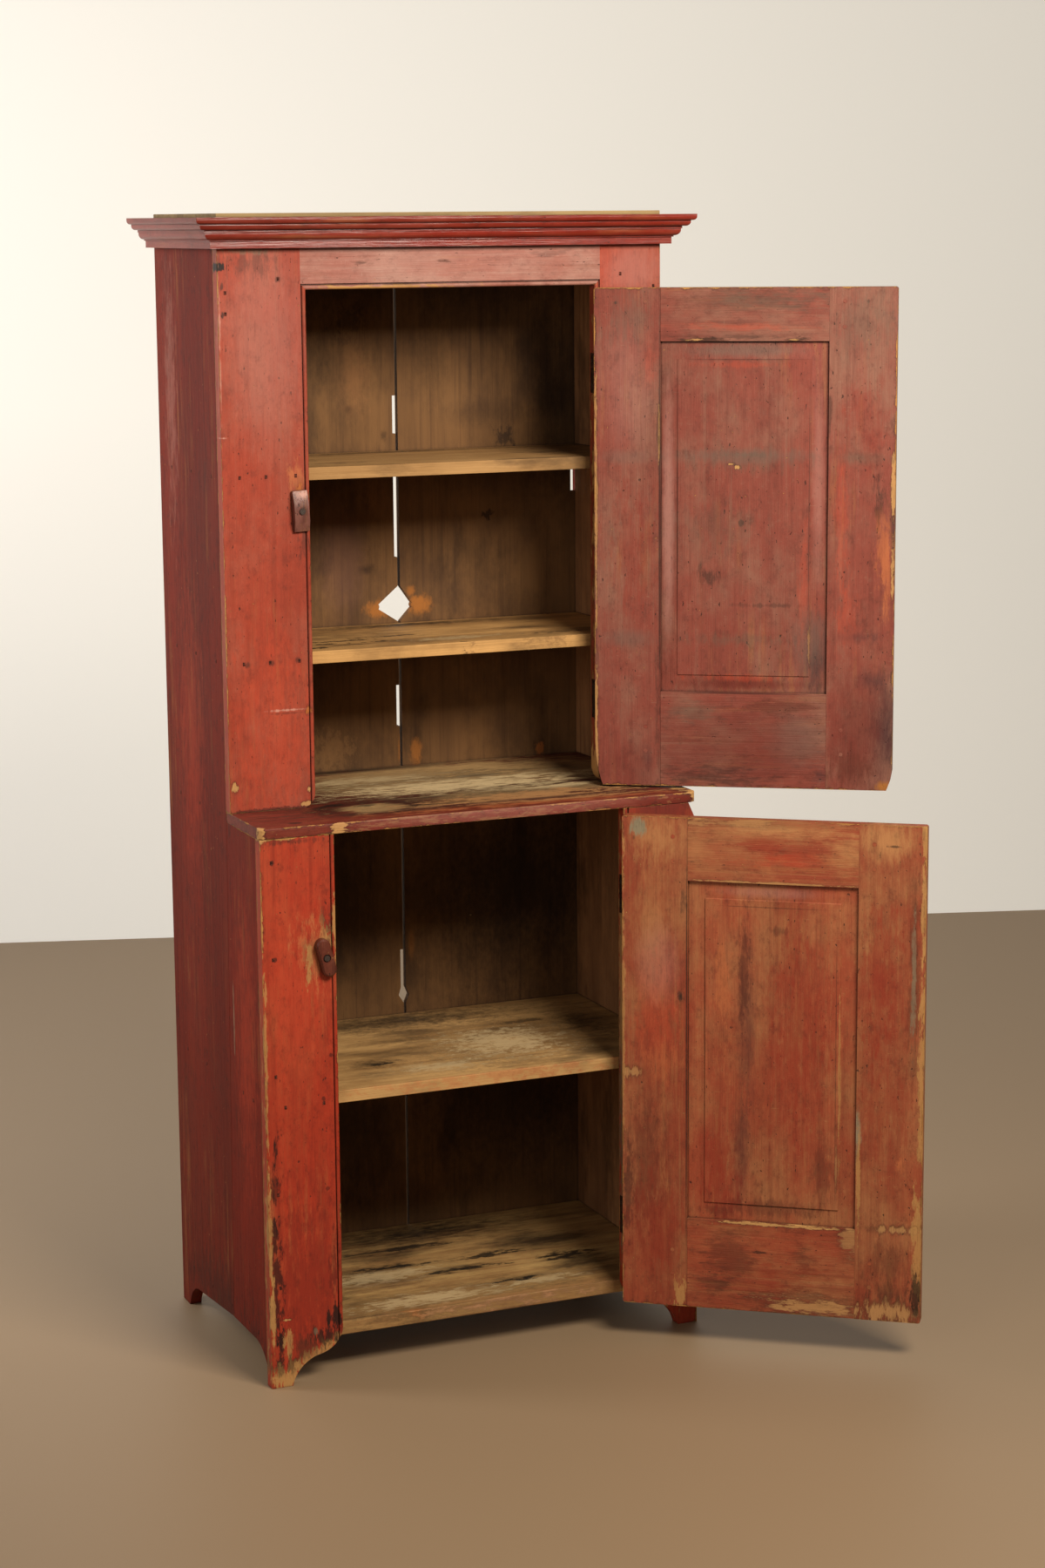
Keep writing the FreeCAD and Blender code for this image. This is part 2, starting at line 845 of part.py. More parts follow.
def cornice():
    """A front length and two returns, mitred at the corners."""
    reach = size("cornice_reach")
    far = reach + over
    top = case_top - size("cornice_set_down")
    low = top - size("cornice_drop") - over
    tall = size("cornice_drop") + over * 2
    body = doc.addObject("PartDesign::Body", "cornice_front")
    profile = cornice_profile(upper_front, top, -1)
    pad(body, sketch(body, "YZ_Plane", -(half_width + reach), profile), (half_width + reach) * 2)
    for side in (-1, 1):
        corner = half_width * side
        waste = [
            (corner, upper_front),
            (corner + far * side, upper_front - far),
            (corner + far * side, upper_front + over),
            (corner, upper_front + over),
        ]
        pocket(body, sketch(body, "XY_Plane", low, waste), tall, reverse=True)
    keep(body, "cornice_front")
    for label, side in (("cornice_left", -1), ("cornice_right", 1)):
        corner = half_width * side
        body = doc.addObject("PartDesign::Body", label)
        profile = cornice_profile(corner, top, side)
        start = upper_front - reach
        pad(body, sketch(body, "XZ_Plane", -start, profile), back - start, reverse=True)
        waste = [
            (corner, upper_front),
            (corner + far * side, upper_front - far),
            (corner - over * side, upper_front - far),
            (corner - over * side, upper_front),
        ]
        pocket(body, sketch(body, "XY_Plane", low, waste), tall, reverse=True)
        keep(body, label)


# Doors, drawn shut about the hinge axis and then swung open

def door_heights(door):
    """The foot and top of a door."""
    if door == "upper":
        return waist_top + size("upper_foot_gap"), upper_open_top - size("upper_top_gap")
    return bottom_under, waist_under - size("lower_top_gap")


def door_width(door):
    """The opening's width less the gaps on both sides."""
    opening = OPENING[f"{door}_right"] - OPENING[f"{door}_left"]
    return opening - size("hinge_gap") - size(f"{door}_close_gap")


def door_face(door):
    """The front face of the frame that the door shuts into."""
    return upper_front if door == "upper" else front


def on_axis(piece, door, swung=True):
    """Put a piece drawn about the hinge axis in place, swung open with the door or not."""
    turn = FreeCAD.Rotation(FreeCAD.Vector(0, 0, 1), ANGLES[f"{door}_door_angle"] if swung else 0)
    piece.Placement = FreeCAD.Placement(FreeCAD.Vector(), turn)
    place(piece, OPENING[f"{door}_right"] - half_gap, door_face(door) - axis_out, ZERO)
    if swung:
        piece.setExpression("Placement.Rotation.Angle", f"Sizes.{door}_door_angle")
    return piece


def door_pegs(door, name):
    """Two pegs through each corner joint, proud on both faces."""
    foot, top = door_heights(door)
    hinge_edge = -half_gap
    free_edge = hinge_edge - door_width(door)
    inset = stile_width["door"] - size("peg_inset")
    rails = [
        foot + size(f"{door}_rail_foot") / 2,
        top - size(f"{door}_rail_top") / 2,
    ]
    pegs = []
    for x in (hinge_edge - inset, free_edge + inset):
        for rail in rails:
            for step in (-1, 1):
                start = (x, axis_out - size("peg_proud"), rail + size("peg_spread") * step)
                long = size("door_thick") + size("peg_proud") * 2
                pegs.append(whittled_peg(name, start, TURN_BACK, size("peg_radius"), long))
    return pegs


def hinge_leaf(name, foot, side):
    """One leaf with its knuckles. side is 1 for the frame's leaf, -1 for the door's."""
    radius = size("knuckle_radius")
    height = size("leaf_height")
    step = height / KNUCKLES
    play = size("leaf_play") / 2
    plate_x = (half_gap, half_gap + size("leaf_thick"))
    if side < 0:
        plate_x = (-plate_x[1], -plate_x[0])
    plate = block(name, plate_x, (ZERO, size("leaf_depth")), (foot, foot + height))
    first = 0 if side > 0 else 1
    own = range(first, KNUCKLES, 2)
    other = range(1 - first, KNUCKLES, 2)
    knuckles = [rod(name, (ZERO, ZERO, foot + step * turn), UPRIGHT, radius, step) for turn in own]
    reach = radius + over
    clear = radius + size("leaf_play")
    notches = []
    for turn in other:
        low = foot + step * turn
        high = low + step
        notches.append(block(name, (-reach, reach), (-reach, clear), (low - play, high + play)))
    bore_radius = size("pin_radius") if side > 0 else size("pin_radius") + size("pin_play")
    bore = rod(name, (ZERO, ZERO, foot - over), UPRIGHT, bore_radius, height + over * 2)
    return cut(name, fuse(name, plate, *knuckles), bore, *notches)


def hinges(door):
    """Two butt hinges: frame leaves, door leaves and pins."""
    frame_leaves = []
    door_leaves = []
    pins = []
    for foot in hinge_feet(door):
        frame_leaves.append(hinge_leaf(f"{door}_frame_leaf", foot, 1))
        door_leaves.append(hinge_leaf(f"{door}_door_leaf", foot, -1))
        start = (ZERO, ZERO, foot - size("pin_end"))
        long = size("leaf_height") + size("pin_end") * 2
        pins.append(rod(f"{door}_pin", start, UPRIGHT, size("pin_radius"), long))
    keep(on_axis(group("leaves", *frame_leaves), door, swung=False), f"{door}_hinge_frame_leaves")
    keep(on_axis(group("pins", *pins), door, swung=False), f"{door}_hinge_pins")
    keep(on_axis(group("leaves", *door_leaves), door), f"{door}_hinge_door_leaves")


def stile_foot(door, outer, inward, foot):
    """A stile's outer bottom corner. The upper door's are worn away: one rubbed, one chipped."""
    if door == "lower":
        radius = size("door_corner_radius")
        return [(outer, foot + radius), (outer + radius * inward, foot, radius, inward)]
    if inward > 0:
        deep = size("door_chip_deep")
        step = outer + size("door_chip_step") * inward
        chipped = outer + size("door_chip_in") * inward
        return [(outer, foot + deep), (step, foot + deep / 2), (chipped, foot)]
    rubbed = outer + size("door_rub_run") * inward
    return [(outer, foot + size("door_rub_rise")), (rubbed, foot, size("door_rub_radius"), inward)]


def stile_outline(door, outer, inner, inward, foot, top):
    """A door stile in front view, its outer top corner rounded."""
    radius = size("door_corner_radius")
    return stile_foot(door, outer, inward, foot) + [
        (inner, foot),
        (inner, top),
        (outer + radius * inward, top),
        (outer, top - radius, radius, inward),
    ]


def door_stiles(door, pegs):
    """Full-height stiles, grooved and mortised, with leaf seats on the hinge stile."""
    foot, top = door_heights(door)
    width = stile_width["door"]
    groove_y = panel_layer()
    groove = size("groove_depth")
    rail_foot, rail_top = size(f"{door}_rail_foot"), size(f"{door}_rail_top")
    inset = size("tenon_inset")
    free_edge = -half_gap - door_width(door)
    for part, outer, inward in (("hinge_stile", -half_gap, -1), ("free_stile", free_edge, 1)):
        inner = outer + width * inward
        name = f"{door}_{part}_blank"
        outline = stile_outline(door, outer, inner, inward, foot, top)
        blank = front_piece(name, outline, axis_out, size("door_thick"))
        trench = [inner - groove, inner + over] if inward > 0 else [inner - over, inner + groove]
        mortise = size("tenon_long")
        hole = [inner - mortise, inner + over] if inward > 0 else [inner - over, inner + mortise]
        tools = [
            block(name, trench, groove_y, (foot + rail_foot - groove, top - rail_top + groove)),
            block(name, hole, groove_y, (foot + inset, foot + rail_foot - groove)),
            block(name, hole, groove_y, (top - rail_top + groove, top - inset)),
            pegs,
        ]
        if part == "hinge_stile":
            seat_x = (outer - size("leaf_thick"), outer + over)
            for low in hinge_feet(door):
                seat_y = (ZERO, size("leaf_depth"))
                tools.append(block(name, seat_x, seat_y, (low, low + size("leaf_height"))))
        keep(on_axis(cut(name, blank, *tools), door), f"{door}_door_{part}")


def panel_layer():
    """The depth limits of the panel's tongue and of the grooves that hold it."""
    middle = axis_out + size("door_thick") / 2
    half = size("tongue_thick") / 2
    return middle - half, middle + half


def door_rails(door, pegs):
    """Top and bottom rails with a tenon at each end and a groove for the panel."""
    foot, top = door_heights(door)
    depth = (axis_out, axis_out + size("door_thick"))
    groove_y = panel_layer()
    groove = size("groove_depth")
    inset = size("tenon_inset")
    right = -half_gap - stile_width["door"]
    left = -half_gap - door_width(door) + stile_width["door"]
    long = size("tenon_long")
    rail_foot, rail_top = size(f"{door}_rail_foot"), size(f"{door}_rail_top")
    limits = {
        "bottom_rail": ((foot, foot + rail_foot), (foot + inset, foot + rail_foot - groove)),
        "top_rail": ((top - rail_top, top), (top - rail_top + groove, top - inset)),
    }
    trenches = {
        "bottom_rail": (foot + rail_foot - groove, foot + rail_foot + over),
        "top_rail": (top - rail_top - over, top - rail_top + groove),
    }
    for part, (height, tenon) in limits.items():
        name = f"{door}_{part}_blank"
        blank = block(name, (left, right), depth, height)
        tenons = block(name, (left - long, right + long), groove_y, tenon)
        trench = block(name, (left - over, right + over), groove_y, trenches[part])
        keep(on_axis(cut(name, fuse(name, blank, tenons), trench, pegs), door), f"{door}_door_{part}")


def door_panel(door):
    """A panel tongued into the frame, raised towards the inside of the door."""
    foot, top = door_heights(door)
    slack = size("groove_depth") - size("panel_play")
    margin = size("panel_margin")
    x = (-half_gap - door_width(door) + stile_width["door"], -half_gap - stile_width["door"])
    z = (foot + size(f"{door}_rail_foot"), top - size(f"{door}_rail_top"))
    layer = panel_layer()
    name = f"{door}_panel_layer"
    tongue = block(name, (x[0] - slack, x[1] + slack), layer, (z[0] - slack, z[1] + slack))
    field_x = (x[0] + margin, x[1] - margin)
    field_z = (z[0] + margin, z[1] - margin)
    if door == "upper":
        play = size("panel_play")
        base_x = (x[0] + play, x[1] - play)
        base_z = (z[0] + play, z[1] - play)
        crest = layer[1] + size("upper_bevel_rise")
        bevel = frustum(name, (layer[1], crest), base_x, base_z, field_x, field_z)
        field = block(name, field_x, (crest, crest + size("upper_field_rise")), field_z)
        whole = fuse(name, tongue, bevel, field)
    else:
        field = block(name, field_x, (layer[1], layer[1] + size("lower_field_rise")), field_z)
        whole = fuse(name, tongue, field)
    keep(on_axis(whole, door), f"{door}_door_panel")


def door_set(door):
    """One framed door with its pegs and hinges."""
    pegs = group("peg_holes", *door_pegs(door, f"{door}_peg_hole"))
    door_stiles(door, pegs)
    door_rails(door, pegs)
    door_panel(door)
    keep(on_axis(group("pegs", *door_pegs(door, f"{door}_peg")), door), f"{door}_door_pegs")
    hinges(door)


# Turn buttons on the left stiles, drawn about their screws

def on_screw(piece, door):
    """Put a piece drawn about a button's screw in place, with the button's tilt."""
    tilt = FreeCAD.Rotation(FreeCAD.Vector(0, 1, 0), ANGLES[f"{door}_button_angle"])
    piece.Placement = FreeCAD.Placement(FreeCAD.Vector(), tilt)
    x = OPENING[f"{door}_left"] - size(f"{door}_button_from_edge")
    place(piece, x, door_face(door), size(f"{door}_button_height"))
    return piece


def button_screw(door, head_seat):
    """A round-headed screw that holds a button to the stile."""
    name = f"{door}_screw_turned"
    seat = -(size("button_play") + head_seat + size("button_play"))
    dome_top = seat - size("button_head_deep")
    start = (ZERO, dome_top, ZERO)
    head = rod(name, start, TURN_BACK, size("button_head_radius"), size("button_head_deep"))
    long = size("button_screw_long") + size("button_head_deep")
    shank = rod(name, start, TURN_BACK, size("button_screw_radius"), long)
    keep(on_screw(fuse(name, head, shank), door), f"{door}_button_screw")


def upper_button():
    """A block button: thick at the screw, sloped towards both ends."""
    near = -size("button_play")
    full = near - size("button_thick")
    thin = near - size("button_end_thick")
    half = size("upper_button_half")
    corners = [
        (near, -half),
        (near, half),
        (thin, half),
        (full, size("button_ridge_up")),
        (full, -size("button_ridge_down")),
        (thin, -half),
    ]
    width = size("button_width")
    body = side_piece("upper_turn_button", corners, -width / 2, width)
    button_hole(body, near)
    keep(on_screw(body, "upper"), "upper_turn_button")
    button_screw("upper", size("button_thick"))


def button_hole(body, near):
    """The running hole for the screw, through the whole thickness."""
    drawing = circle_sketch(body, near + over, size("button_screw_radius") + size("button_screw_play"))
    pocket(body, drawing, size("button_thick") + over * 2, reverse=True)


def circle_sketch(body, y, radius):
    """A circle about the screw, in a front view at a given depth."""
    drawing = sketch(body, "XZ_Plane", -y)
    drawing.addGeometry(Part.Circle(FreeCAD.Vector(), FreeCAD.Vector(0, 0, 1), radius.value), False)
    drawing.addConstraint(Sketcher.Constraint("Coincident", 0, 3, -1, 1))
    index = drawing.addConstraint(Sketcher.Constraint("Radius", 0, radius.value))
    drawing.setExpression(f"Constraints[{index}]", radius.formula)
    return drawing


def lower_button():
    """A rounded button with softened edges and a sunk seat for the screw."""
    near = -size("button_play")
    half = size("lower_button_width") / 2
    reach = size("lower_button_half") - half
    corners = [
        (-half, -reach),
        (ZERO, -reach - half, half, 1),
        (half, -reach, half, 1),
        (half, reach),
        (ZERO, reach + half, half, 1),
        (-half, reach, half, 1),
    ]
    body = doc.addObject("PartDesign::Body", "lower_turn_button")
    raised = pad(body, sketch(body, "XZ_Plane", -near, corners), size("button_thick"))
    doc.recompute()
    outer_face = near - size("button_thick")
    rim = []
    for index, edge in enumerate(raised.Shape.Edges, start=1):
        limits = edge.BoundBox
        if math.isclose(limits.YMin, limits.YMax) and math.isclose(limits.YMin, outer_face.value):
            rim.append(f"Edge{index}")
    softened = body.newObject("PartDesign::Chamfer", "softened")
    softened.Base = (raised, rim)
    softened.setExpression("Size", "Sizes.button_round")
    sunk = circle_sketch(body, near - size("button_thick") - over, size("button_sink_radius"))
    pocket(body, sunk, size("button_sink_deep") + over)
    button_hole(body, near)
    keep(on_screw(body, "lower"), "lower_turn_button")
    button_screw("lower", size("button_thick") - size("button_sink_deep"))


# Cut nails

def nail(name, x, y, z, way):
    """A cut nail whose head lies at a point on a face, driven along way."""
    long = size("nail_head_long") / 2
    wide = size("nail_head_wide") / 2
    half = size("nail_shank") / 2
    tip = size("nail_tip") / 2
    proud = size("nail_proud")
    neck = size("nail_head_deep") - proud
    square = (-half, half)
    head = block(name, (-wide, wide), (-proud, neck), (-long, long))
    shank = frustum(name, (neck, size("nail_long")), square, square, (-tip, tip), square)
    driven = fuse(name, head, shank)
    turn = FreeCAD.Rotation(FreeCAD.Vector(0, 0, 1), NAIL_TURNS[way])
    driven.Placement = FreeCAD.Placement(FreeCAD.Vector(), turn)
    place(driven, x, y, z)
    return driven


def stile_nails():
    """Nails through the stiles into the rail's tenons, the shelves and the sides' edges."""
    places = []
    for side, name in ((-1, "left"), (1, "right")):
        outer = half_width * side
        upper_wide = stile_width[f"upper_{name}"] * side
        lower_wide = stile_width[f"lower_{name}"] * side
        for label in ("upper_shelf", "middle_shelf"):
            for share in UPPER_STILE_SHARES:
                places.append((outer - upper_wide * share, upper_front, shelf_middle(label)))
        for share in LOWER_STILE_SHARES:
            places.append((outer - lower_wide * share, front, shelf_middle("lower_shelf")))
        upper_edge = outer - size("upper_edge_nail_in") * side
        for order in ("first", "second"):
            height = sides_top - size(f"upper_edge_nail_{order}_drop")
            places.append((upper_edge, upper_front, height))
        lower_edge = outer - size("lower_edge_nail_in") * side
        for order in ("first", "second", "third", "fourth", "fifth"):
            height = waist_under - size(f"lower_edge_nail_{order}_drop")
            places.append((lower_edge, front, height))
        joint = OPENING[f"upper_{name}"] + (bead_width + size("joint_nail_in")) * side
        places.append((joint, upper_front, sides_top - size("joint_nail_drop")))
    keep(group("nails", *[nail("stile_nail", *at, "back") for at in places]), "stile_nails")


def shelf_middle(label):
    """Half-way up a shelf's edge."""
    return SHELF_TOPS[label] - size("shelf_thick") / 2


def board_middles():
    """Half-way up the edge of each shelf, the waist board and the bottom boards."""
    heights = [shelf_middle(label) for label in SHELF_TOPS]
    heights.append(waist_top - size("waist_thick") / 2)
    heights.append(bottom_top - size("bottom_thick") / 2)
    return heights


def side_nails():
    """Nails through the sides into the ends of the shelves and boards."""
    nails = []
    run = back_face - upper_frame_back
    low_heights = (shelf_middle("lower_shelf"), bottom_top - size("bottom_thick") / 2)
    for side, way in ((-1, "right"), (1, "left")):
        outer = half_width * side
        for height in board_middles():
            for share in SIDE_SHARES:
                nails.append(nail("side_nail", outer, upper_frame_back + run * share, height, way))
        for height in low_heights:
            for reach in ("front_nail_near", "front_nail_far"):
                nails.append(nail("side_nail", outer, front + size(reach), height, way))
    keep(group("nails", *nails), "side_nails")


def back_nails():
    """Nails through the back boards into the rear edges of the shelves."""
    nails = []
    outside = back - size("back_recess")
    for height in board_middles():
        for share in BACK_SHARES:
            nails.append(nail("back_nail", inner_half * share, outside, height, "front"))
    keep(group("nails", *nails), "back_nails")


def build():
    """Make every sub-part of the cupboard."""
    for side, name in ((-1, "left"), (1, "right")):
        side_board(f"{name}_side_board", side)
        side_front_board(f"{name}_side_front_board", side)
        upper_stile(f"upper_{name}_stile", side)
        lower_stile(f"lower_{name}_stile", side)
    upper_top_rail()
    shelves()
    waist_board()
    bottom_boards()
    top_board()
    back_boards()
    cornice()
    door_set("upper")
    door_set("lower")
    upper_button()
    lower_button()
    stile_nails()
    side_nails()
    back_nails()


def check_and_write():
    """Stop on any failed object, then write each sub-part to its own file."""
    doc.recompute()
    failed = [thing.Name for thing in doc.Objects if {"Invalid", "Error"} & set(thing.State)]
    if failed:
        raise RuntimeError(f"failed objects: {failed}")
    os.makedirs("parts", exist_ok=True)
    for piece in nodes:
        shape = piece.Shape
        if shape.isNull() or not shape.isValid():
            raise RuntimeError(f"bad shape: {piece.Label}")
        shape.exportStep(f"parts/{piece.Label}.step")
        print(f"{piece.Label}: {len(shape.Solids)} solids, {shape.Volume / 1000:.1f} cm3")


build()
check_and_write()
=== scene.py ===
import bmesh
import bpy
import json
import math
import random
from mathutils import Matrix, Vector


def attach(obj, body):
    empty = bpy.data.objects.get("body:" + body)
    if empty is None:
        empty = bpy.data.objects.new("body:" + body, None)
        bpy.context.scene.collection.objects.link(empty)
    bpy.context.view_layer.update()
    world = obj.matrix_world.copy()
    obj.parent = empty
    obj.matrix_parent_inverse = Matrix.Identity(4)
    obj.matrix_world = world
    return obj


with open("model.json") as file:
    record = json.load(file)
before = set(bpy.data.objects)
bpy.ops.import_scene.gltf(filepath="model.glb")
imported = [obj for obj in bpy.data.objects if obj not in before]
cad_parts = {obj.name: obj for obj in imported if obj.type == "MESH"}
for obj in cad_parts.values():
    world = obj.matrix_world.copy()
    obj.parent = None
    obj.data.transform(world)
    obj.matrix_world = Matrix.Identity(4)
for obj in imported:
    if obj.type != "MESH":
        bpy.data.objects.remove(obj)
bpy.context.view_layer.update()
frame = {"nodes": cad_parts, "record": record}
random.seed(1830)

# Camera, floor, wall and lights

CAMERA_PLACE = (-1.4806, -4.4786, 1.8222)
CAMERA_YAW = -23.21
CAMERA_PITCH = -10.264
CAMERA_ROLL = -0.455
CAMERA_LENS = 71.74


def place_camera():
    """The camera where the photograph's perspective puts it."""
    camera = bpy.data.objects.new("camera", bpy.data.cameras.new("camera"))
    camera.data.sensor_width = 36
    camera.data.lens = CAMERA_LENS
    turned = Matrix.Rotation(math.radians(CAMERA_YAW), 4, "Z")
    tipped = Matrix.Rotation(math.radians(90 + CAMERA_PITCH), 4, "X")
    rolled = Matrix.Rotation(math.radians(CAMERA_ROLL), 4, "Z")
    camera.matrix_world = Matrix.Translation(CAMERA_PLACE) @ turned @ tipped @ rolled
    bpy.context.collection.objects.link(camera)
    bpy.context.scene.camera = camera


def tone(code):
    """A linear colour from a hex code such as b06048."""
    parts = [int(code[i:i + 2], 16) / 255 for i in (0, 2, 4)]
    linear = [part / 12.92 if part <= 0.04045 else ((part + 0.055) / 1.055) ** 2.4 for part in parts]
    return (*linear, 1.0)


def flat_sheet(name, corners, material):
    """A plain sheet between corners, part of the studio."""
    mesh = bpy.data.meshes.new(name)
    mesh.from_pydata(corners, [], [tuple(range(len(corners)))])
    mesh.materials.append(material)
    sheet = bpy.data.objects.new(name, mesh)
    bpy.context.collection.objects.link(sheet)


def area_light(name, place, aim, width, height, power, colour):
    """A soft rectangular light turned to a point."""
    lamp = bpy.data.lights.new(name, "AREA")
    lamp.shape = "RECTANGLE"
    lamp.size = width
    lamp.size_y = height
    lamp.energy = power
    lamp.color = tone(colour)[:3]
    light = bpy.data.objects.new(name, lamp)
    way = Vector(aim) - Vector(place)
    light.matrix_world = Matrix.Translation(place) @ way.to_track_quat("-Z", "Y").to_matrix().to_4x4()
    bpy.context.collection.objects.link(light)


class Graph:
    """Short words for the nodes of one material or node group."""

    def __init__(self, tree):
        self.tree = tree

    def add(self, kind, inputs=None, **settings):
        """A node with its settings made and its inputs fed by sockets or values."""
        node = self.tree.nodes.new(kind)
        for name, value in settings.items():
            setattr(node, name, value)
        for key, value in (inputs or {}).items():
            self.feed(node.inputs[key], value)
        return node

    def feed(self, socket, value):
        if isinstance(value, bpy.types.NodeSocket):
            self.tree.links.new(value, socket)
        else:
            socket.default_value = value

    def maths(self, operation, *values):
        return self.add("ShaderNodeMath", dict(enumerate(values)), operation=operation).outputs[0]

    def vector(self, operation, *values):
        node = self.add("ShaderNodeVectorMath", dict(enumerate(values)), operation=operation)
        return node.outputs["Value" if operation == "LENGTH" else "Vector"]

    def blend(self, share, first, second):
        """Colour between two, by a share from 0 to 1."""
        node = self.add("ShaderNodeMix", data_type="RGBA")
        for slot, value in zip((0, 6, 7), (share, first, second)):
            self.feed(node.inputs[slot], value)
        return node.outputs[2]

    def ramp(self, value, low, high, start=0.0, end=1.0):
        """Smooth step from start to end while the value goes from low to high."""
        settings = {"Value": value, "From Min": low, "From Max": high, "To Min": start, "To Max": end}
        return self.add("ShaderNodeMapRange", settings, interpolation_type="SMOOTHSTEP").outputs[0]

    def noise(self, place, scale, detail=2.0, roughness=0.5):
        """Noise with its own scale along each axis."""
        spread = self.vector("MULTIPLY", place, scale)
        settings = {"Vector": spread, "Scale": 1.0, "Detail": detail, "Roughness": roughness}
        return self.add("ShaderNodeTexNoise", settings)

    def group(self, tree, **inputs):
        node = self.add("ShaderNodeGroup", node_tree=tree)
        for name, value in inputs.items():
            self.feed(node.inputs[name], value)
        return node.outputs


FLOAT, COLOUR, VECTOR = "NodeSocketFloat", "NodeSocketColor", "NodeSocketVector"


def new_effect(name, inputs, outputs):
    """An empty node group with its sockets, the words to fill it and its two ends."""
    tree = bpy.data.node_groups.new(name, "ShaderNodeTree")
    for label, kind in inputs.items():
        tree.interface.new_socket(label, in_out="INPUT", socket_type=kind)
    for label, kind in outputs.items():
        tree.interface.new_socket(label, in_out="OUTPUT", socket_type=kind)
    graph = Graph(tree)
    return tree, graph, graph.add("NodeGroupInput").outputs, graph.add("NodeGroupOutput").inputs


def plank_grain():
    """Grain that runs along Z: broad bands, ring lines, streaks and fine fibre."""
    shown = {"Bands": FLOAT, "Rings": FLOAT, "Streaks": FLOAT, "Fibre": FLOAT}
    tree, graph, given, put = new_effect("plank_grain", {"Place": VECTOR}, shown)
    bands = graph.noise(given["Place"], (15, 15, 1.0), 3).outputs[0]
    graph.feed(put["Bands"], graph.ramp(bands, 0.34, 0.66))
    swell = graph.noise(given["Place"], (6, 6, 0.45), 2, 0.4).outputs[0]
    wave = graph.maths("SINE", graph.maths("MULTIPLY", swell, 95.0))
    graph.feed(put["Rings"], graph.ramp(wave, 0.1, 1.0))
    streaks = graph.noise(given["Place"], (110, 110, 3.0), 3, 0.6).outputs[0]
    graph.feed(put["Streaks"], streaks)
    graph.feed(put["Fibre"], graph.noise(given["Place"], (750, 750, 16), 2).outputs[0])
    return tree


def old_paint(grain):
    """Old milk paint over wood, with soft bands, bloom, thin places, scuffs, specks and grime."""
    wanted = {"Place": VECTOR, "Deep": COLOUR, "Main": COLOUR, "Bloom": COLOUR, "Wood": COLOUR,
              "Bloom share": FLOAT, "Thin share": FLOAT, "Grime share": FLOAT}
    shown = {"Colour": COLOUR, "Height": FLOAT, "Bare": FLOAT, "Lines": FLOAT}
    tree, graph, given, put = new_effect("old_paint", wanted, shown)
    place = given["Place"]
    lines = graph.group(grain, Place=place)
    colour = graph.blend(graph.maths("MULTIPLY", lines["Bands"], 0.4), given["Main"], given["Deep"])
    cloud = graph.noise(place, (8, 8, 5), 6, 0.66).outputs[0]
    bloom = graph.maths("MULTIPLY", graph.ramp(cloud, 0.4, 0.68), given["Bloom share"])
    colour = graph.blend(bloom, colour, given["Bloom"])
    dark = graph.ramp(lines["Streaks"], 0.5, 0.76, 0.0, 0.45)
    colour = graph.blend(dark, colour, given["Deep"])
    light = graph.ramp(lines["Streaks"], 0.46, 0.26, 0.0, 0.5)
    colour = graph.blend(graph.maths("MULTIPLY", light, given["Bloom share"]), colour, given["Bloom"])
    mottle = graph.noise(place, (70, 70, 45), 7, 0.78).outputs[0]
    colour = graph.blend(graph.ramp(mottle, 0.52, 0.7, 0.0, 0.35), colour, given["Deep"])
    colour = graph.blend(graph.ramp(mottle, 0.45, 0.3, 0.0, 0.25), colour, given["Bloom"])
    colour = graph.blend(graph.ramp(lines["Fibre"], 0.3, 0.7, 0.2, 0.0), colour, BLACK)
    thin = graph.noise(place, (85, 85, 5), 6, 0.66).outputs[0]
    patch = graph.noise(place, (9, 9, 4), 3).outputs[0]
    thin = graph.maths("MULTIPLY", graph.ramp(thin, 0.5, 0.66), graph.ramp(patch, 0.46, 0.66))
    thin = graph.maths("MULTIPLY", thin, given["Thin share"])
    colour = graph.blend(thin, colour, given["Wood"])
    grime = graph.noise(place, (24, 24, 9), 8, 0.74).outputs[0]
    grime = graph.maths("MULTIPLY", graph.ramp(grime, 0.52, 0.74), given["Grime share"])
    colour = graph.blend(grime, colour, BLACK)
    scuff = graph.noise(place, (70, 70, 800), 2, 0.6).outputs[0]
    scuff = graph.ramp(scuff, 0.7, 0.74, 0.0, 0.5)
    colour = graph.blend(scuff, colour, given["Bloom"])
    speck = graph.noise(place, (260, 260, 210), 1).outputs[0]
    speck = graph.ramp(speck, 0.79, 0.81)
    colour = graph.blend(speck, colour, given["Wood"])
    pit = graph.noise(place, (240, 240, 110), 2).outputs[0]
    pit = graph.ramp(pit, 0.7, 0.74)
    colour = graph.blend(graph.maths("MULTIPLY", pit, 0.75), colour, BLACK)
    graph.feed(put["Colour"], colour)
    graph.feed(put["Bare"], graph.maths("MAXIMUM", thin, speck))
    fine = graph.maths("MULTIPLY", lines["Fibre"], 0.4)
    drawn = graph.maths("ADD", fine, graph.maths("MULTIPLY", mottle, 0.6))
    graph.feed(put["Lines"], graph.ramp(drawn, 0.48, 0.64))
    relief = graph.maths("ADD", lines["Fibre"], graph.maths("MULTIPLY", lines["Streaks"], 1.6))
    relief = graph.maths("ADD", relief, graph.maths("MULTIPLY", mottle, 0.8))
    graph.feed(put["Height"], graph.maths("SUBTRACT", relief, graph.maths("ADD", speck, pit)))
    return tree


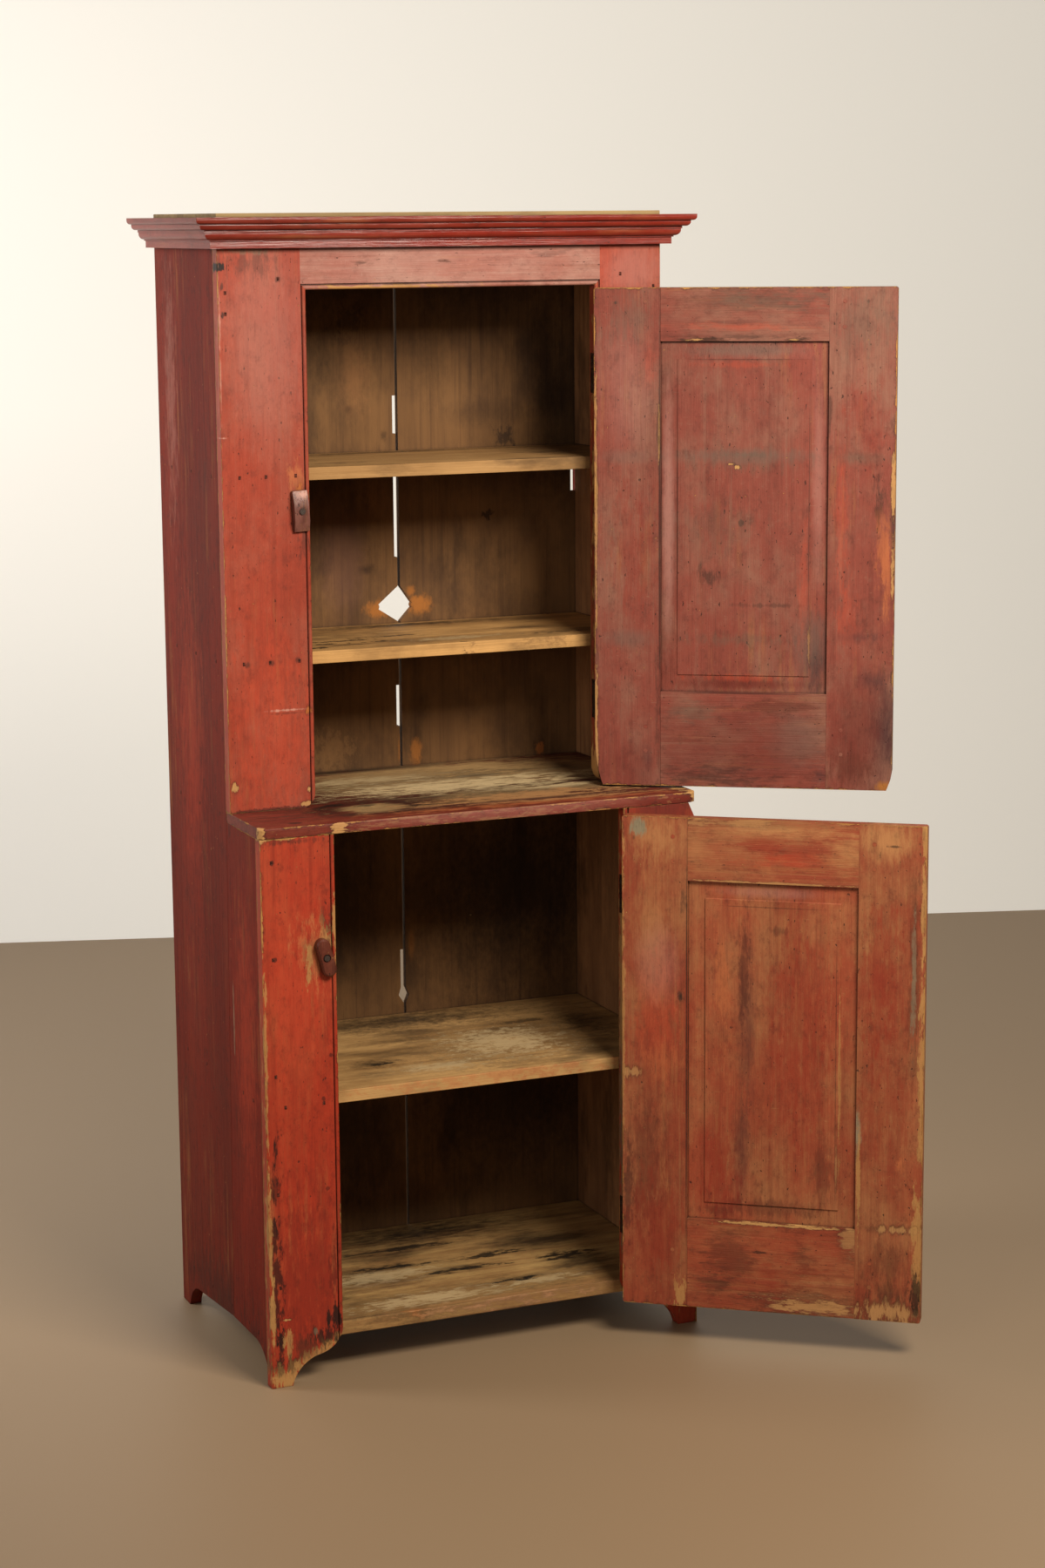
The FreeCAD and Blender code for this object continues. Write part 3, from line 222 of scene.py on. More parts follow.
def aged_wood(grain):
    """Bare old wood: tone bands, rings, fibre, dirt in the pores and soft blotches."""
    wanted = {"Place": VECTOR, "Light": COLOUR, "Dark": COLOUR, "Stain": COLOUR, "Band share": FLOAT,
              "Blotch share": FLOAT, "Ring share": FLOAT}
    tree, graph, given, put = new_effect("aged_wood", wanted, {"Colour": COLOUR, "Height": FLOAT})
    place = given["Place"]
    lines = graph.group(grain, Place=place)
    bands = graph.maths("MULTIPLY", lines["Bands"], given["Band share"])
    colour = graph.blend(bands, given["Light"], given["Dark"])
    cloud = graph.noise(place, (9, 9, 6), 6, 0.68).outputs[0]
    colour = graph.blend(graph.ramp(cloud, 0.42, 0.66, 0.0, 0.55), colour, given["Dark"])
    colour = graph.blend(graph.ramp(lines["Streaks"], 0.5, 0.78, 0.0, 0.6), colour, given["Dark"])
    colour = graph.blend(graph.ramp(lines["Streaks"], 0.45, 0.25, 0.0, 0.45), colour, given["Light"])
    rings = graph.maths("MULTIPLY", lines["Rings"], given["Ring share"])
    colour = graph.blend(rings, colour, given["Dark"])
    blotch = graph.noise(place, (14, 14, 5), 5, 0.62).outputs[0]
    blotch = graph.maths("MULTIPLY", graph.ramp(blotch, 0.48, 0.72), given["Blotch share"])
    colour = graph.blend(blotch, colour, given["Stain"])
    pores = graph.ramp(lines["Fibre"], 0.58, 0.8, 0.0, 0.3)
    colour = graph.blend(pores, colour, given["Stain"])
    graph.feed(put["Colour"], colour)
    relief = graph.maths("ADD", lines["Fibre"], graph.maths("MULTIPLY", lines["Streaks"], 1.2))
    sunk = graph.maths("MULTIPLY", lines["Rings"], 0.4)
    graph.feed(put["Height"], graph.maths("SUBTRACT", relief, sunk))
    return tree


def worn_spot():
    """A mask inside an oval block about a centre, its outline broken by noise, with a wider rim."""
    wanted = {"Place": VECTOR, "Centre": VECTOR, "Half": VECTOR, "Noise": FLOAT, "Ragged": FLOAT,
              "Soft": FLOAT, "Strength": FLOAT}
    tree, graph, given, put = new_effect("worn_spot", wanted, {"Mask": FLOAT, "Rim": FLOAT})
    away = graph.vector("SUBTRACT", given["Place"], given["Centre"])
    reach = graph.vector("LENGTH", graph.vector("DIVIDE", away, given["Half"]))
    shake = graph.maths("MULTIPLY", graph.maths("SUBTRACT", given["Noise"], 0.5), given["Ragged"])
    inside = graph.maths("ADD", graph.maths("SUBTRACT", 1.0, reach), shake)
    mask = graph.ramp(inside, 0.0, given["Soft"])
    graph.feed(put["Mask"], graph.maths("MULTIPLY", mask, given["Strength"]))
    rim = graph.ramp(inside, -0.7, 0.1)
    graph.feed(put["Rim"], graph.maths("MULTIPLY", rim, given["Strength"]))
    return tree


def worn_arris():
    """Masks along the edges of a board between two limits: bare wood, and dirt beside it."""
    wanted = {"Place": VECTOR, "Low": VECTOR, "High": VECTOR, "Reach": FLOAT}
    tree, graph, given, put = new_effect("worn_arris", wanted, {"Bare": FLOAT, "Dirt": FLOAT})
    low = graph.vector("ABSOLUTE", graph.vector("SUBTRACT", given["Place"], given["Low"]))
    high = graph.vector("ABSOLUTE", graph.vector("SUBTRACT", given["High"], given["Place"]))
    near = graph.add("ShaderNodeSeparateXYZ", {0: graph.vector("MINIMUM", low, high)}).outputs
    less = graph.maths("MINIMUM", near[0], near[1])
    more = graph.maths("MAXIMUM", near[0], near[1])
    second = graph.maths("MAXIMUM", less, graph.maths("MINIMUM", more, near[2]))
    share = graph.maths("DIVIDE", second, graph.maths("ADD", given["Reach"], 0.00001))
    graph.feed(put["Bare"], graph.ramp(share, 1.0, 0.75))
    graph.feed(put["Dirt"], graph.ramp(share, 2.6, 1.0))
    return tree


# Lengths of the finishes, in metres
# How far ambient occlusion looks for a crevice to darken with painted shade
CREVICE_SHADE_REACH = 0.006
PAINT_RELIEF = 0.00035
WOOD_RELIEF = 0.0004
IRON_RELIEF = 0.0003
WELD_REACH = 0.00001
ARRIS_ANGLE = math.radians(40)

# How far a mark reaches behind and before its face, in millimetres
MARK_DEPTH = 30

# How far marks are drawn out along the grain: a smaller number is longer
PAINT_STRETCH = 24
WOOD_STRETCH = 60

BLACK = (0.012, 0.008, 0.006, 1.0)
GRAIN = plank_grain()
PAINT = old_paint(GRAIN)
WOOD = aged_wood(GRAIN)
SPOT = worn_spot()
ARRIS = worn_arris()

# Finishes that marks are made of: colour, how ragged and how soft their outline is. Shade is painted
# shade, the soot-dark finish serves for grime and for painted shade, haze (the paint's dusty bloom) also
# serves for painted highlights, and olive and deep also paint the shade on a panel's bevels.
FINISHES = {
    "bare": ("c3935a", 4.5, 0.25),
    "orange": ("b8682e", 4.0, 0.5),
    "ink": ("26262a", 1.6, 1.2),
    "olive": ("70554a", 1.0, 0.8),
    "deep": ("6c2a20", 1.0, 0.8),
    "amber": ("a5682f", 1.7, 0.7),
    "grime_and_shade": ("20150e", 2.0, 1.1),
    "wash": ("5c3026", 1.6, 1.2),
    "flaked": ("b5854e", 6.5, 0.35),
    "tar": ("17110d", 6.5, 0.5),
    "tan": ("b08050", 5.0, 0.5),
    "rubbed": ("b4653c", 5.0, 0.9),
    "cream": ("d6bc8e", 4.5, 0.8),
    "bright": ("bc4529", 4.0, 1.0),
    "red": ("8c2a19", 4.5, 0.8),
    "brown": ("4c2a1b", 4.0, 0.8),
    "scrubbed": ("b3905f", 1.8, 0.5),
    "faded": ("b27a4c", 2.2, 1.0),
    "haze": ("ae7a6e", 0.8, 0.8),
    "stain": ("5a2a1c", 3.2, 0.7),
    "line": ("1a1210", 0.8, 0.5),
    "shade": ("1a110c", 0.9, 1.0),
    "dirt": ("2c2019", 5.0, 0.8),
    "black": ("14100d", 4.0, 0.35),
    "grey": ("8a8168", 3.5, 0.6),
    "green": ("5a5244", 4.0, 1.0),
    "pale": ("cc9583", 4.0, 1.0),
    "blue": ("26262a", 4.5, 1.0),
}

# Finishes that show bare wood, inside a dark rim
BARE_FINISHES = ("bare", "orange", "tan", "cream", "scrubbed")

# Paint colours by place: deep, main and bloom
FRONT_RED = ("86301c", "a83f27", "a8604a")
LOW_RED = ("7a2010", "b6391f", "b0502f")
SIDE_RED = ("480f08", "7a2413", "64281b")
RAIL_RED = ("884a3a", "a8685a", "bc9c8c")
CORNICE_RED = ("58150d", "8a2618", "9c4a3c")
UPPER_DOOR_RED = ("6e3429", "8e4537", "94705c")
WAIST_RED = ("4e170e", "7e2818", "8c4432")
LOWER_DOOR_RED = ("7a3220", "a54c30", "b27e50")

# Each door's hinge axis and how far it stands open at rest, in degrees
DOOR_AXIS = {}
for joint in frame["record"]["behaviour"]["joints"]:
    if "range_deg" in joint:
        DOOR_AXIS[joint["child"]] = (Vector(joint["pos_m"]), -joint["range_deg"][0])

# The body that each piece rides on
BODY_OF = {}
for body, members in frame["record"]["behaviour"]["bodies"].items():
    for member in members:
        BODY_OF[member] = body


def own_place(graph, node):
    """The place on a piece in metres, on a door counted from its hinge axis with the door shut."""
    place = graph.add("ShaderNodeTexCoord").outputs["Object"]
    body = BODY_OF[node]
    if body not in DOOR_AXIS:
        return place
    axis, angle = DOOR_AXIS[body]
    turned = graph.add("ShaderNodeMapping", {"Vector": place}, vector_type="TEXTURE")
    turned.inputs["Location"].default_value = (axis.x, axis.y, 0)
    turned.inputs["Rotation"].default_value = (0, 0, math.radians(angle))
    return turned.outputs[0]


def grain_place(graph, place, along):
    """The place turned so that the grain runs along Z, and moved so that no two pieces match."""
    parts = graph.add("ShaderNodeSeparateXYZ", {0: place}).outputs
    order = {"z": (0, 1, 2), "x": (1, 2, 0), "y": (2, 0, 1)}[along]
    turned = graph.add("ShaderNodeCombineXYZ", {i: parts[order[i]] for i in range(3)}).outputs[0]
    moved = [random.uniform(0, 9) for _ in range(3)]
    return graph.vector("ADD", turned, moved)


def lay_marks(graph, place, grain, colour, face, marks, stretch=PAINT_STRETCH):
    """Each mark of a face over the colour. Lengths are in millimetres."""
    bare = 0.0
    noise = graph.noise(grain, (100, 100, stretch), 8, 0.75).outputs[0]
    axis, level = "xyz".index(face[0]), face[1]
    for finish, across, up, half_across, half_up, strength in marks:
        centre, half = [across, up], [half_across, half_up]
        centre.insert(axis, level)
        half.insert(axis, MARK_DEPTH)
        code, ragged, soft = FINISHES[finish]
        settings = {
            "Place": place,
            "Centre": [v / 1000 for v in centre],
            "Half": [v / 1000 for v in half],
            "Noise": noise,
            "Ragged": ragged,
            "Soft": soft,
            "Strength": strength,
        }
        spot = graph.group(SPOT, **settings)
        if finish in BARE_FINISHES:
            colour = graph.blend(graph.maths("MULTIPLY", spot["Rim"], 0.4), colour, BLACK)
            bare = graph.maths("MAXIMUM", bare, spot["Mask"])
        colour = graph.blend(spot["Mask"], colour, tone(code))
    return colour, bare


def surface(graph, shader, colour, roughness, height, depth, crevice_shade=0.75, sheen=0.5):
    """Joins colour, gloss and relief to the shader, with painted shade: the colour darkened in the
    crevices where the piece meets another.
    """
    shader.inputs["Specular IOR Level"].default_value = sheen
    # Painted shade: ambient occlusion darkens the colour towards black in crevices and where parts meet.
    occlusion = graph.add("ShaderNodeAmbientOcclusion", {"Distance": CREVICE_SHADE_REACH}, samples=4).outputs["AO"]
    dirt = graph.ramp(occlusion, 0.25, 0.85, crevice_shade, 0.0)
    colour = graph.blend(dirt, colour, BLACK)
    graph.feed(shader.inputs["Base Color"], colour)
    graph.feed(shader.inputs["Roughness"], roughness)
    bump = graph.add("ShaderNodeBump", {"Height": height, "Distance": depth, "Strength": 1.0})
    graph.feed(shader.inputs["Normal"], bump.outputs[0])


def new_finish(name):
    material = bpy.data.materials.new(name)
    material.use_nodes = True
    return material, Graph(material.node_tree), material.node_tree.nodes["Principled BSDF"]


def painted(node, along="z", red=FRONT_RED, bloom=0.5, thin=0.25, grime=0.25, arris=2.5,
            edges="-x+x-y+y-z+z", face=("y", 0), marks=(), gloss=0.58, sheen=0.3, inside=None,
            inner_marks=()):
    """Old red paint on one piece, worn along its edges, with its own marks."""
    material, graph, shader = new_finish(f"{node}_paint")
    place = own_place(graph, node)
    grain = grain_place(graph, place, along)
    deep, main, haze = [tone(code) for code in red]
    paint = graph.group(PAINT, **{
        "Place": grain, "Deep": deep, "Main": main, "Bloom": haze, "Wood": tone("b07c48"),
        "Bloom share": bloom, "Thin share": thin, "Grime share": grime,
    })
    wood = graph.group(WOOD, **{
        "Place": grain, "Light": tone("c08c4c"), "Dark": tone("96622f"), "Stain": tone("4a2f1c"),
        "Band share": 0.8, "Blotch share": 0.6, "Ring share": 0.2,
    })
    low, high = limits(node, edges)
    reach = graph.noise(grain, (40, 40, 30), 6, 0.72).outputs[0]
    reach = graph.ramp(reach, 0.4, 0.74, 0.0, arris / 1000)
    worn = graph.group(ARRIS, Place=place, Low=low, High=high, Reach=reach)
    colour = graph.blend(graph.maths("MULTIPLY", worn["Dirt"], 0.45), paint["Colour"], BLACK)
    colour = graph.blend(worn["Bare"], colour, wood["Colour"])
    colour, marked = lay_marks(graph, place, grain, colour, face, marks)
    colour = graph.blend(graph.maths("MULTIPLY", paint["Lines"], 0.28), colour, BLACK)
    bare_wood = graph.maths("MAXIMUM", marked, graph.maths("MAXIMUM", worn["Bare"], paint["Bare"]))
    if inside:
        raw_side = inner_face(graph, place, inside)
        raw = graph.group(WOOD, **{
            "Place": grain, "Light": tone("a6764e"), "Dark": tone("704c32"), "Stain": tone("2a1b12"),
            "Band share": 0.5, "Blotch share": 0.6, "Ring share": 0.25,
        })
        inner, _ = lay_marks(graph, place, grain, raw["Colour"], face, inner_marks)
        colour = graph.blend(raw_side, colour, inner)
        bare_wood = graph.maths("MAXIMUM", bare_wood, raw_side)
    height = graph.maths("SUBTRACT", paint["Height"], graph.maths("MULTIPLY", bare_wood, 1.2))
    roughness = graph.ramp(bare_wood, 0.0, 1.0, gloss, 0.8)
    surface(graph, shader, colour, roughness, height, PAINT_RELIEF, sheen=sheen)
    return material


def limits(node, edges):
    """Limits of a board, pushed away on the sides whose edges aren't worn."""
    body = BODY_OF[node]
    corners = [Vector(v.co) for v in frame["nodes"][node].data.vertices]
    if body in DOOR_AXIS:
        axis, angle = DOOR_AXIS[body]
        back = Matrix.Rotation(math.radians(-angle), 4, "Z")
        corners = [back @ (v - Vector((axis.x, axis.y, 0))) for v in corners]
    low = [min(v[i] for v in corners) for i in range(3)]
    high = [max(v[i] for v in corners) for i in range(3)]
    for i, letter in enumerate("xyz"):
        if f"-{letter}" not in edges:
            low[i] -= 1
        if f"+{letter}" not in edges:
            high[i] += 1
    return low, high


def inner_face(graph, place, plane):
    """1 beyond a plane such as ("+x", 19), where a board shows bare wood inside the case."""
    side, distance = plane
    part = graph.add("ShaderNodeSeparateXYZ", {0: place}).outputs["xyz".index(side[1])]
    return graph.maths("GREATER_THAN" if side[0] == "+" else "LESS_THAN", part, distance / 1000)


def bare(node, along="x", light="b08753", dark="7d5531", stain="2a1c14", bands=0.5, blotch=0.6, rings=0.3,
         face=("z", 0), marks=(), stretch=WOOD_STRETCH):
    """Unpainted old board with its own stains."""
    material, graph, shader = new_finish(f"{node}_wood")
    place = own_place(graph, node)
    grain = grain_place(graph, place, along)
    wood = graph.group(WOOD, **{
        "Place": grain, "Light": tone(light), "Dark": tone(dark), "Stain": tone(stain),
        "Band share": bands, "Blotch share": blotch, "Ring share": rings,
    })
    colour, _ = lay_marks(graph, place, grain, wood["Colour"], face, marks, stretch)
    surface(graph, shader, colour, 0.75, wood["Height"], WOOD_RELIEF, crevice_shade=0.6, sheen=0.25)
    return material


def metal(name, colour, rust, roughness):
    """Dark worked iron with rust."""
    material, graph, shader = new_finish(name)
    place = graph.add("ShaderNodeTexCoord").outputs["Object"]
    spread = graph.noise(place, (300, 300, 300), 5, 0.7).outputs[0]
    tint = graph.blend(graph.ramp(spread, 0.42, 0.6), tone(colour), tone(rust))
    graph.feed(shader.inputs["Metallic"], graph.ramp(spread, 0.45, 0.6, 0.75, 0.1))
    gloss = graph.ramp(spread, 0.3, 0.7, roughness, 0.85)
    surface(graph, shader, tint, gloss, spread, IRON_RELIEF)
    return material


def dress(node, material, bevel=1.0):
    """Puts a finish on a CAD piece and rounds its sharp edges by so many millimetres."""
    piece = frame["nodes"][node]
    piece.data.materials.clear()
    piece.data.materials.append(material)
    if bevel:
        weld = piece.modifiers.new("weld", "WELD")
        weld.merge_threshold = WELD_REACH
        round_off = piece.modifiers.new("worn_round", "BEVEL")
        round_off.width = bevel / 1000
        round_off.segments = 2
        round_off.limit_method = "ANGLE"
        round_off.angle_limit = ARRIS_ANGLE
        even = piece.modifiers.new("even_shading", "WEIGHTED_NORMAL")
        even.weight = 100


def plain_finish(name, colour, roughness):
    material, _, shader = new_finish(name)
    shader.inputs["Base Color"].default_value = tone(colour)
    shader.inputs["Roughness"].default_value = roughness
    return material


def studio():
    """A plain floor, a pale wall seen from its front only, and soft lights."""
    floor = plain_finish("floor_finish", "927a5e", 0.55)
    flat_sheet("floor", [(-7, -7, 0), (8, -7, 0), (8, 9, 0), (-7, 9, 0)], floor)
    wall = plain_finish("wall_finish", "e4e2dc", 0.9)
    shader = wall.node_tree.nodes["Principled BSDF"]
    shader.inputs["Emission Color"].default_value = tone("efebe0")
    shader.inputs["Emission Strength"].default_value = 0.28
    graph = Graph(wall.node_tree)
    clear = graph.add("ShaderNodeBsdfTransparent")
    back = graph.add("ShaderNodeNewGeometry").outputs["Backfacing"]
    shown = graph.add("ShaderNodeMixShader", {0: back, 1: shader.outputs[0], 2: clear.outputs[0]})
    graph.feed(wall.node_tree.nodes["Material Output"].inputs["Surface"], shown.outputs[0])
    flat_sheet("wall", [(-5, 4.9, 0), (8, 0.9, 0), (8, 0.9, 5), (-5, 4.9, 5)], wall)
    world = bpy.data.worlds.new("room_light")
    world.use_nodes = True
    glow = world.node_tree.nodes["Background"].inputs
    glow["Color"].default_value = tone("f4efe4")
    glow["Strength"].default_value = 0.1
    bpy.context.scene.world = world
    area_light("key", place=(0.85, -2.15, 2.7), aim=(0.4, 0.1, 0.95), width=1.2, height=0.9,
               power=104, colour="fff5e6")
    area_light("fill", place=(-3.0, -2.6, 2.0), aim=(0.4, 0.1, 1.0), width=2.0, height=2.0,
               power=36, colour="fff8ee")
    area_light("wall_wash", place=(-1.7, 1.1, 1.9), aim=(1.1, 3.3, 1.3), width=1.6, height=1.6,
               power=66, colour="fcfaf9")
    bpy.context.scene.view_settings.view_transform = "Standard"


# Marks of wear, dirt and tone, some of them painted shade or painted highlight, as the finish, its centre
# across and up the face, its half width and half height in millimetres, and its strength

UPPER_LEFT_STILE_MARKS = [
    ("haze", 75, 1640, 90, 220, 0.3), ("bright", 80, 1010, 90, 190, 0.5),
    ("dirt", 40, 1760, 60, 26, 0.45), ("grey", 45, 1776, 50, 7, 0.35), ("black", 3, 1752, 16, 7, 0.95),
    ("shade", 70, 1784, 100, 14, 0.6), ("dirt", 7, 1722, 4, 6, 0.7), ("dirt", 8, 1680, 4, 5, 0.8),
    ("pale", 2, 1620, 2, 150, 0.6), ("pale", 3, 1492, 8, 2, 0.9), ("rubbed", 122, 1418, 18, 38, 0.85),
    ("orange", 126, 1405, 8, 16, 0.6), ("dirt", 130, 1330, 12, 34, 0.5), ("dirt", 35, 1138, 5, 5, 0.6),
    ("dirt", 75, 1138, 5, 5, 0.6), ("dirt", 117, 1141, 5, 5, 0.6), ("pale", 100, 1062, 48, 2.5, 0.8),
    ("dirt", 100, 1057, 45, 2, 0.4), ("orange", 135, 1060, 6, 6, 0.8), ("dirt", 98, 1733, 5, 5, 0.5),
    ("bare", 133, 934, 4, 6, 0.9), ("bare", 9, 944, 5, 7, 0.9), ("black", 70, 904, 80, 5, 0.6),
    ("bare", 128, 910, 12, 4, 0.8),
]
UPPER_RIGHT_STILE_MARKS = [
    ("haze", 700, 1740, 70, 60, 0.4), ("brown", 634, 1300, 6, 440, 0.8),
    ("flaked", 636, 1300, 2, 420, 0.8), ("bare", 636, 930, 10, 40, 0.9),
]
TOP_RAIL_MARKS = [
    ("shade", 390, 1784, 460, 14, 0.6), ("haze", 390, 1755, 300, 50, 0.3),
    ("brown", 235, 1756, 16, 4, 0.7), ("brown", 374, 1757, 18, 3.5, 0.7),
    ("flaked", 260, 1718, 150, 4, 0.95), ("brown", 300, 1722, 60, 3, 0.5),
    ("dirt", 560, 1765, 40, 6, 0.3),
]
LOWER_LEFT_STILE_MARKS = [
    ("bright", 60, 640, 60, 190, 0.5), ("bare", 5, 888, 7, 9, 0.9), ("flaked", 105, 722, 12, 26, 0.9),
    ("rubbed", 84, 705, 34, 62, 0.9), ("brown", 76, 693, 10, 40, 0.5), ("flaked", 76, 690, 5, 40, 0.7),
    ("dirt", 110, 745, 13, 42, 0.6), ("flaked", 120, 735, 5, 56, 0.9), ("black", 19, 849, 4, 5, 0.7),
    ("black", 22, 696, 4, 5, 0.7), ("black", 96, 465, 4, 4, 0.6), ("black", 109, 534, 4, 4, 0.6),
    ("black", 100, 318, 4, 4, 0.6), ("red", 60, 130, 90, 250, 0.9), ("dirt", 60, 880, 60, 5, 0.5),
    ("tar", 12, 330, 9, 60, 0.6), ("tar", 10, 160, 12, 170, 0.75), ("flaked", 3, 520, 2.5, 180, 0.7),
    ("flaked", 3, 230, 3.5, 110, 0.8), ("flaked", 5, 110, 4.5, 90, 0.9), ("tar", 16, 60, 9, 60, 0.8),
    ("bare", 27, 111, 8, 2, 0.9), ("flaked", 30, 66, 9, 26, 0.8), ("flaked", 30, 18, 32, 26, 1.0),
    ("tar", 30, 34, 34, 16, 0.6), ("flaked", 52, 24, 14, 16, 0.9), ("flaked", 64, 38, 16, 11, 0.9),
    ("flaked", 80, 50, 16, 10, 0.9), ("flaked", 98, 61, 14, 9, 0.9), ("flaked", 111, 72, 10, 11, 0.8),
    ("tar", 92, 76, 34, 14, 0.8), ("tar", 110, 104, 12, 30, 0.9), ("brown", 60, 62, 36, 26, 0.6),
    ("grey", 76, 84, 5, 7, 0.4), ("tar", 108, 190, 8, 70, 0.3),
]
LOWER_RIGHT_STILE_MARKS = [
    ("deep", 690, 880, 110, 46, 0.9), ("grey", 617, 480, 6, 420, 0.8), ("brown", 619, 400, 6, 300, 0.6),
    ("flaked", 618, 620, 3, 200, 0.6), ("tar", 640, 60, 30, 60, 0.6), ("flaked", 650, 30, 40, 30, 0.7),
]
LEFT_SIDE_MARKS = [
    ("dirt", 230, 1430, 14, 26, 0.3), ("dirt", 193, 1290, 6, 12, 0.5), ("dirt", 453, 1047, 8, 16, 0.45),
    ("dirt", 250, 60, 260, 90, 0.45), ("bright", 330, 1000, 90, 300, 0.25),
    ("pale", 400, 1550, 40, 250, 0.2), ("black", 162, 1790, 30, 20, 0.4), ("bare", 470, 1200, 2, 90, 0.6),
]
RIGHT_INNER_MARKS = [
    ("shade", 250, 720, 340, 240, 0.9), ("shade", 250, 260, 340, 220, 0.8),
    ("amber", 220, 970, 80, 90, 0.9), ("grime_and_shade", 250, 1010, 40, 50, 0.8),
    ("grime_and_shade", 300, 1730, 220, 90, 0.5), ("amber", 180, 1240, 26, 50, 0.6),
    ("grime_and_shade", 420, 1300, 40, 240, 0.4),
]
LEFT_FRONT_MARKS = [
    ("bright", 90, 560, 80, 300, 0.35), ("dirt", 90, 40, 100, 90, 0.5), ("grey", 150, 560, 3, 90, 0.6),
    ("dirt", 150, 870, 10, 22, 0.6), ("brown", 20, 640, 14, 60, 0.4),
]
WAIST_MARKS = [
    ("brown", 400, 66, 400, 90, 0.75), ("scrubbed", 440, 300, 370, 190, 1.0),
    ("scrubbed", 500, 130, 240, 60, 0.8), ("cream", 430, 225, 280, 84, 0.95),
    ("cream", 300, 330, 150, 40, 0.6), ("cream", 560, 150, 120, 26, 0.8),
    ("scrubbed", 225, 92, 75, 46, 0.9), ("brown", 305, 104, 46, 14, 0.9), ("tan", 470, 84, 250, 44, 0.9),
    ("rubbed", 470, 30, 340, 26, 0.8), ("wash", 430, 60, 320, 14, 0.7), ("tar", 330, 84, 90, 6, 0.6),
    ("tar", 520, 60, 120, 5, 0.5), ("tan", 560, 40, 150, 10, 0.6), ("black", 69, 26, 12, 8, 0.7),
    ("black", 168, 141, 24, 14, 0.7), ("black", 218, 117, 16, 9, 0.6), ("dirt", 346, 139, 40, 12, 0.7),
    ("grime_and_shade", 487, 294, 90, 20, 0.6), ("grime_and_shade", 569, 311, 60, 20, 0.6), ("grime_and_shade", 653, 320, 40, 60, 0.7),
    # The long soot-dark mark at the back of the top, where it meets the back boards, is painted shade.
    ("dirt", 649, 124, 30, 16, 0.5), ("bare", 735, 38, 14, 26, 0.8), ("grime_and_shade", 300, 425, 330, 30, 0.9),
    ("bare", 3, 4, 6, 16, 0.9), ("bare", 130, 0, 14, 3, 0.9), ("bare", 744, 6, 12, 16, 1.0),
    # The pale line along the front arris is a painted highlight.
    ("flaked", 400, 1, 380, 1.2, 0.25), ("haze", 400, 1, 380, 4, 0.3),
]
UPPER_HINGE_STILE_MARKS = [
    ("line", -107, 1344, 1.5, 420, 0.8), ("dirt", -36, 1688, 4, 4, 0.8),
    ("olive", -55, 1443, 60, 16, 0.4), ("olive", -55, 1148, 60, 22, 0.5), ("ink", -88, 950, 14, 30, 0.5),
    ("deep", -60, 940, 60, 60, 0.4), ("bare", -106, 1482, 1.5, 46, 0.5), ("dirt", -104, 1500, 3, 60, 0.5),
    ("dirt", -104, 1000, 6, 150, 0.35), ("bare", -3, 1000, 3, 110, 0.7),
    ("haze", -55, 1560, 60, 160, 0.3), ("bare", -4, 1400, 2, 200, 0.6), ("red", -60, 1300, 50, 120, 0.3),
    ("green", -60, 1660, 60, 60, 0.35), ("bright", -90, 1600, 16, 60, 0.25),
]
UPPER_TOP_RAIL_MARKS = [
    ("stain", -242, 1692, 150, 24, 0.35), ("bright", -242, 1650, 120, 9, 0.35),
    ("brown", -175, 1630, 56, 7, 0.95), ("brown", -325, 1630, 24, 6, 0.9),
    ("bare", -165, 1630, 16, 2.5, 0.8), ("bare", -322, 1630, 10, 2, 0.7),
    ("dirt", -240, 1634, 110, 5, 0.45), ("green", -300, 1690, 140, 22, 0.45),
]
UPPER_PANEL_MARKS = [
    # The bevels round the raised field carry painted light: the left and right ones lighter (painted
    # highlight), the top one olive and the bottom one deep red (painted shade).
    ("haze", -121, 1345, 14, 270, 0.75), ("haze", -363, 1400, 13, 200, 0.35),
    ("olive", -242, 1613, 130, 15, 0.7), ("deep", -242, 1076, 130, 14, 0.8),
    ("line", -108, 1345, 2, 284, 0.8), ("line", -242, 1626, 136, 2, 0.8),
    ("line", -136, 1345, 1.3, 256, 0.5), ("line", -348, 1345, 1.3, 256, 0.4),
    ("line", -242, 1598, 108, 1.2, 0.4), ("bright", -242, 1590, 104, 6, 0.25),
    ("green", -242, 1447, 60, 5, 0.5), ("green", -242, 1440, 130, 24, 0.35),
    ("green", -242, 1148, 120, 14, 0.35), ("bare", -232, 1427, 4, 3, 0.9),
    ("bare", -222, 1432, 5, 2.5, 0.9), ("ink", -362, 1115, 40, 96, 0.85),
    ("olive", -350, 1150, 44, 70, 0.6), ("tan", -350, 1143, 3, 42, 0.5),
    ("olive", -242, 1445, 170, 16, 0.5), ("dirt", -238, 1338, 6, 5, 0.6),
    ("dirt", -190, 1253, 22, 16, 0.6), ("bright", -242, 1086, 110, 8, 0.4),
    ("dirt", -290, 1205, 60, 4, 0.4), ("bright", -340, 1230, 10, 140, 0.3),
    ("green", -200, 1330, 90, 60, 0.25),
]
UPPER_BOTTOM_RAIL_MARKS = [
    ("olive", -330, 985, 60, 60, 0.6), ("deep", -242, 970, 150, 90, 0.5),
    ("dirt", -200, 925, 110, 22, 0.45), ("green", -160, 1030, 60, 20, 0.35),
    ("stain", -300, 1040, 90, 14, 0.5), ("line", -242, 1061, 134, 1.5, 0.6),
    ("blue", -370, 930, 20, 30, 0.4),
]
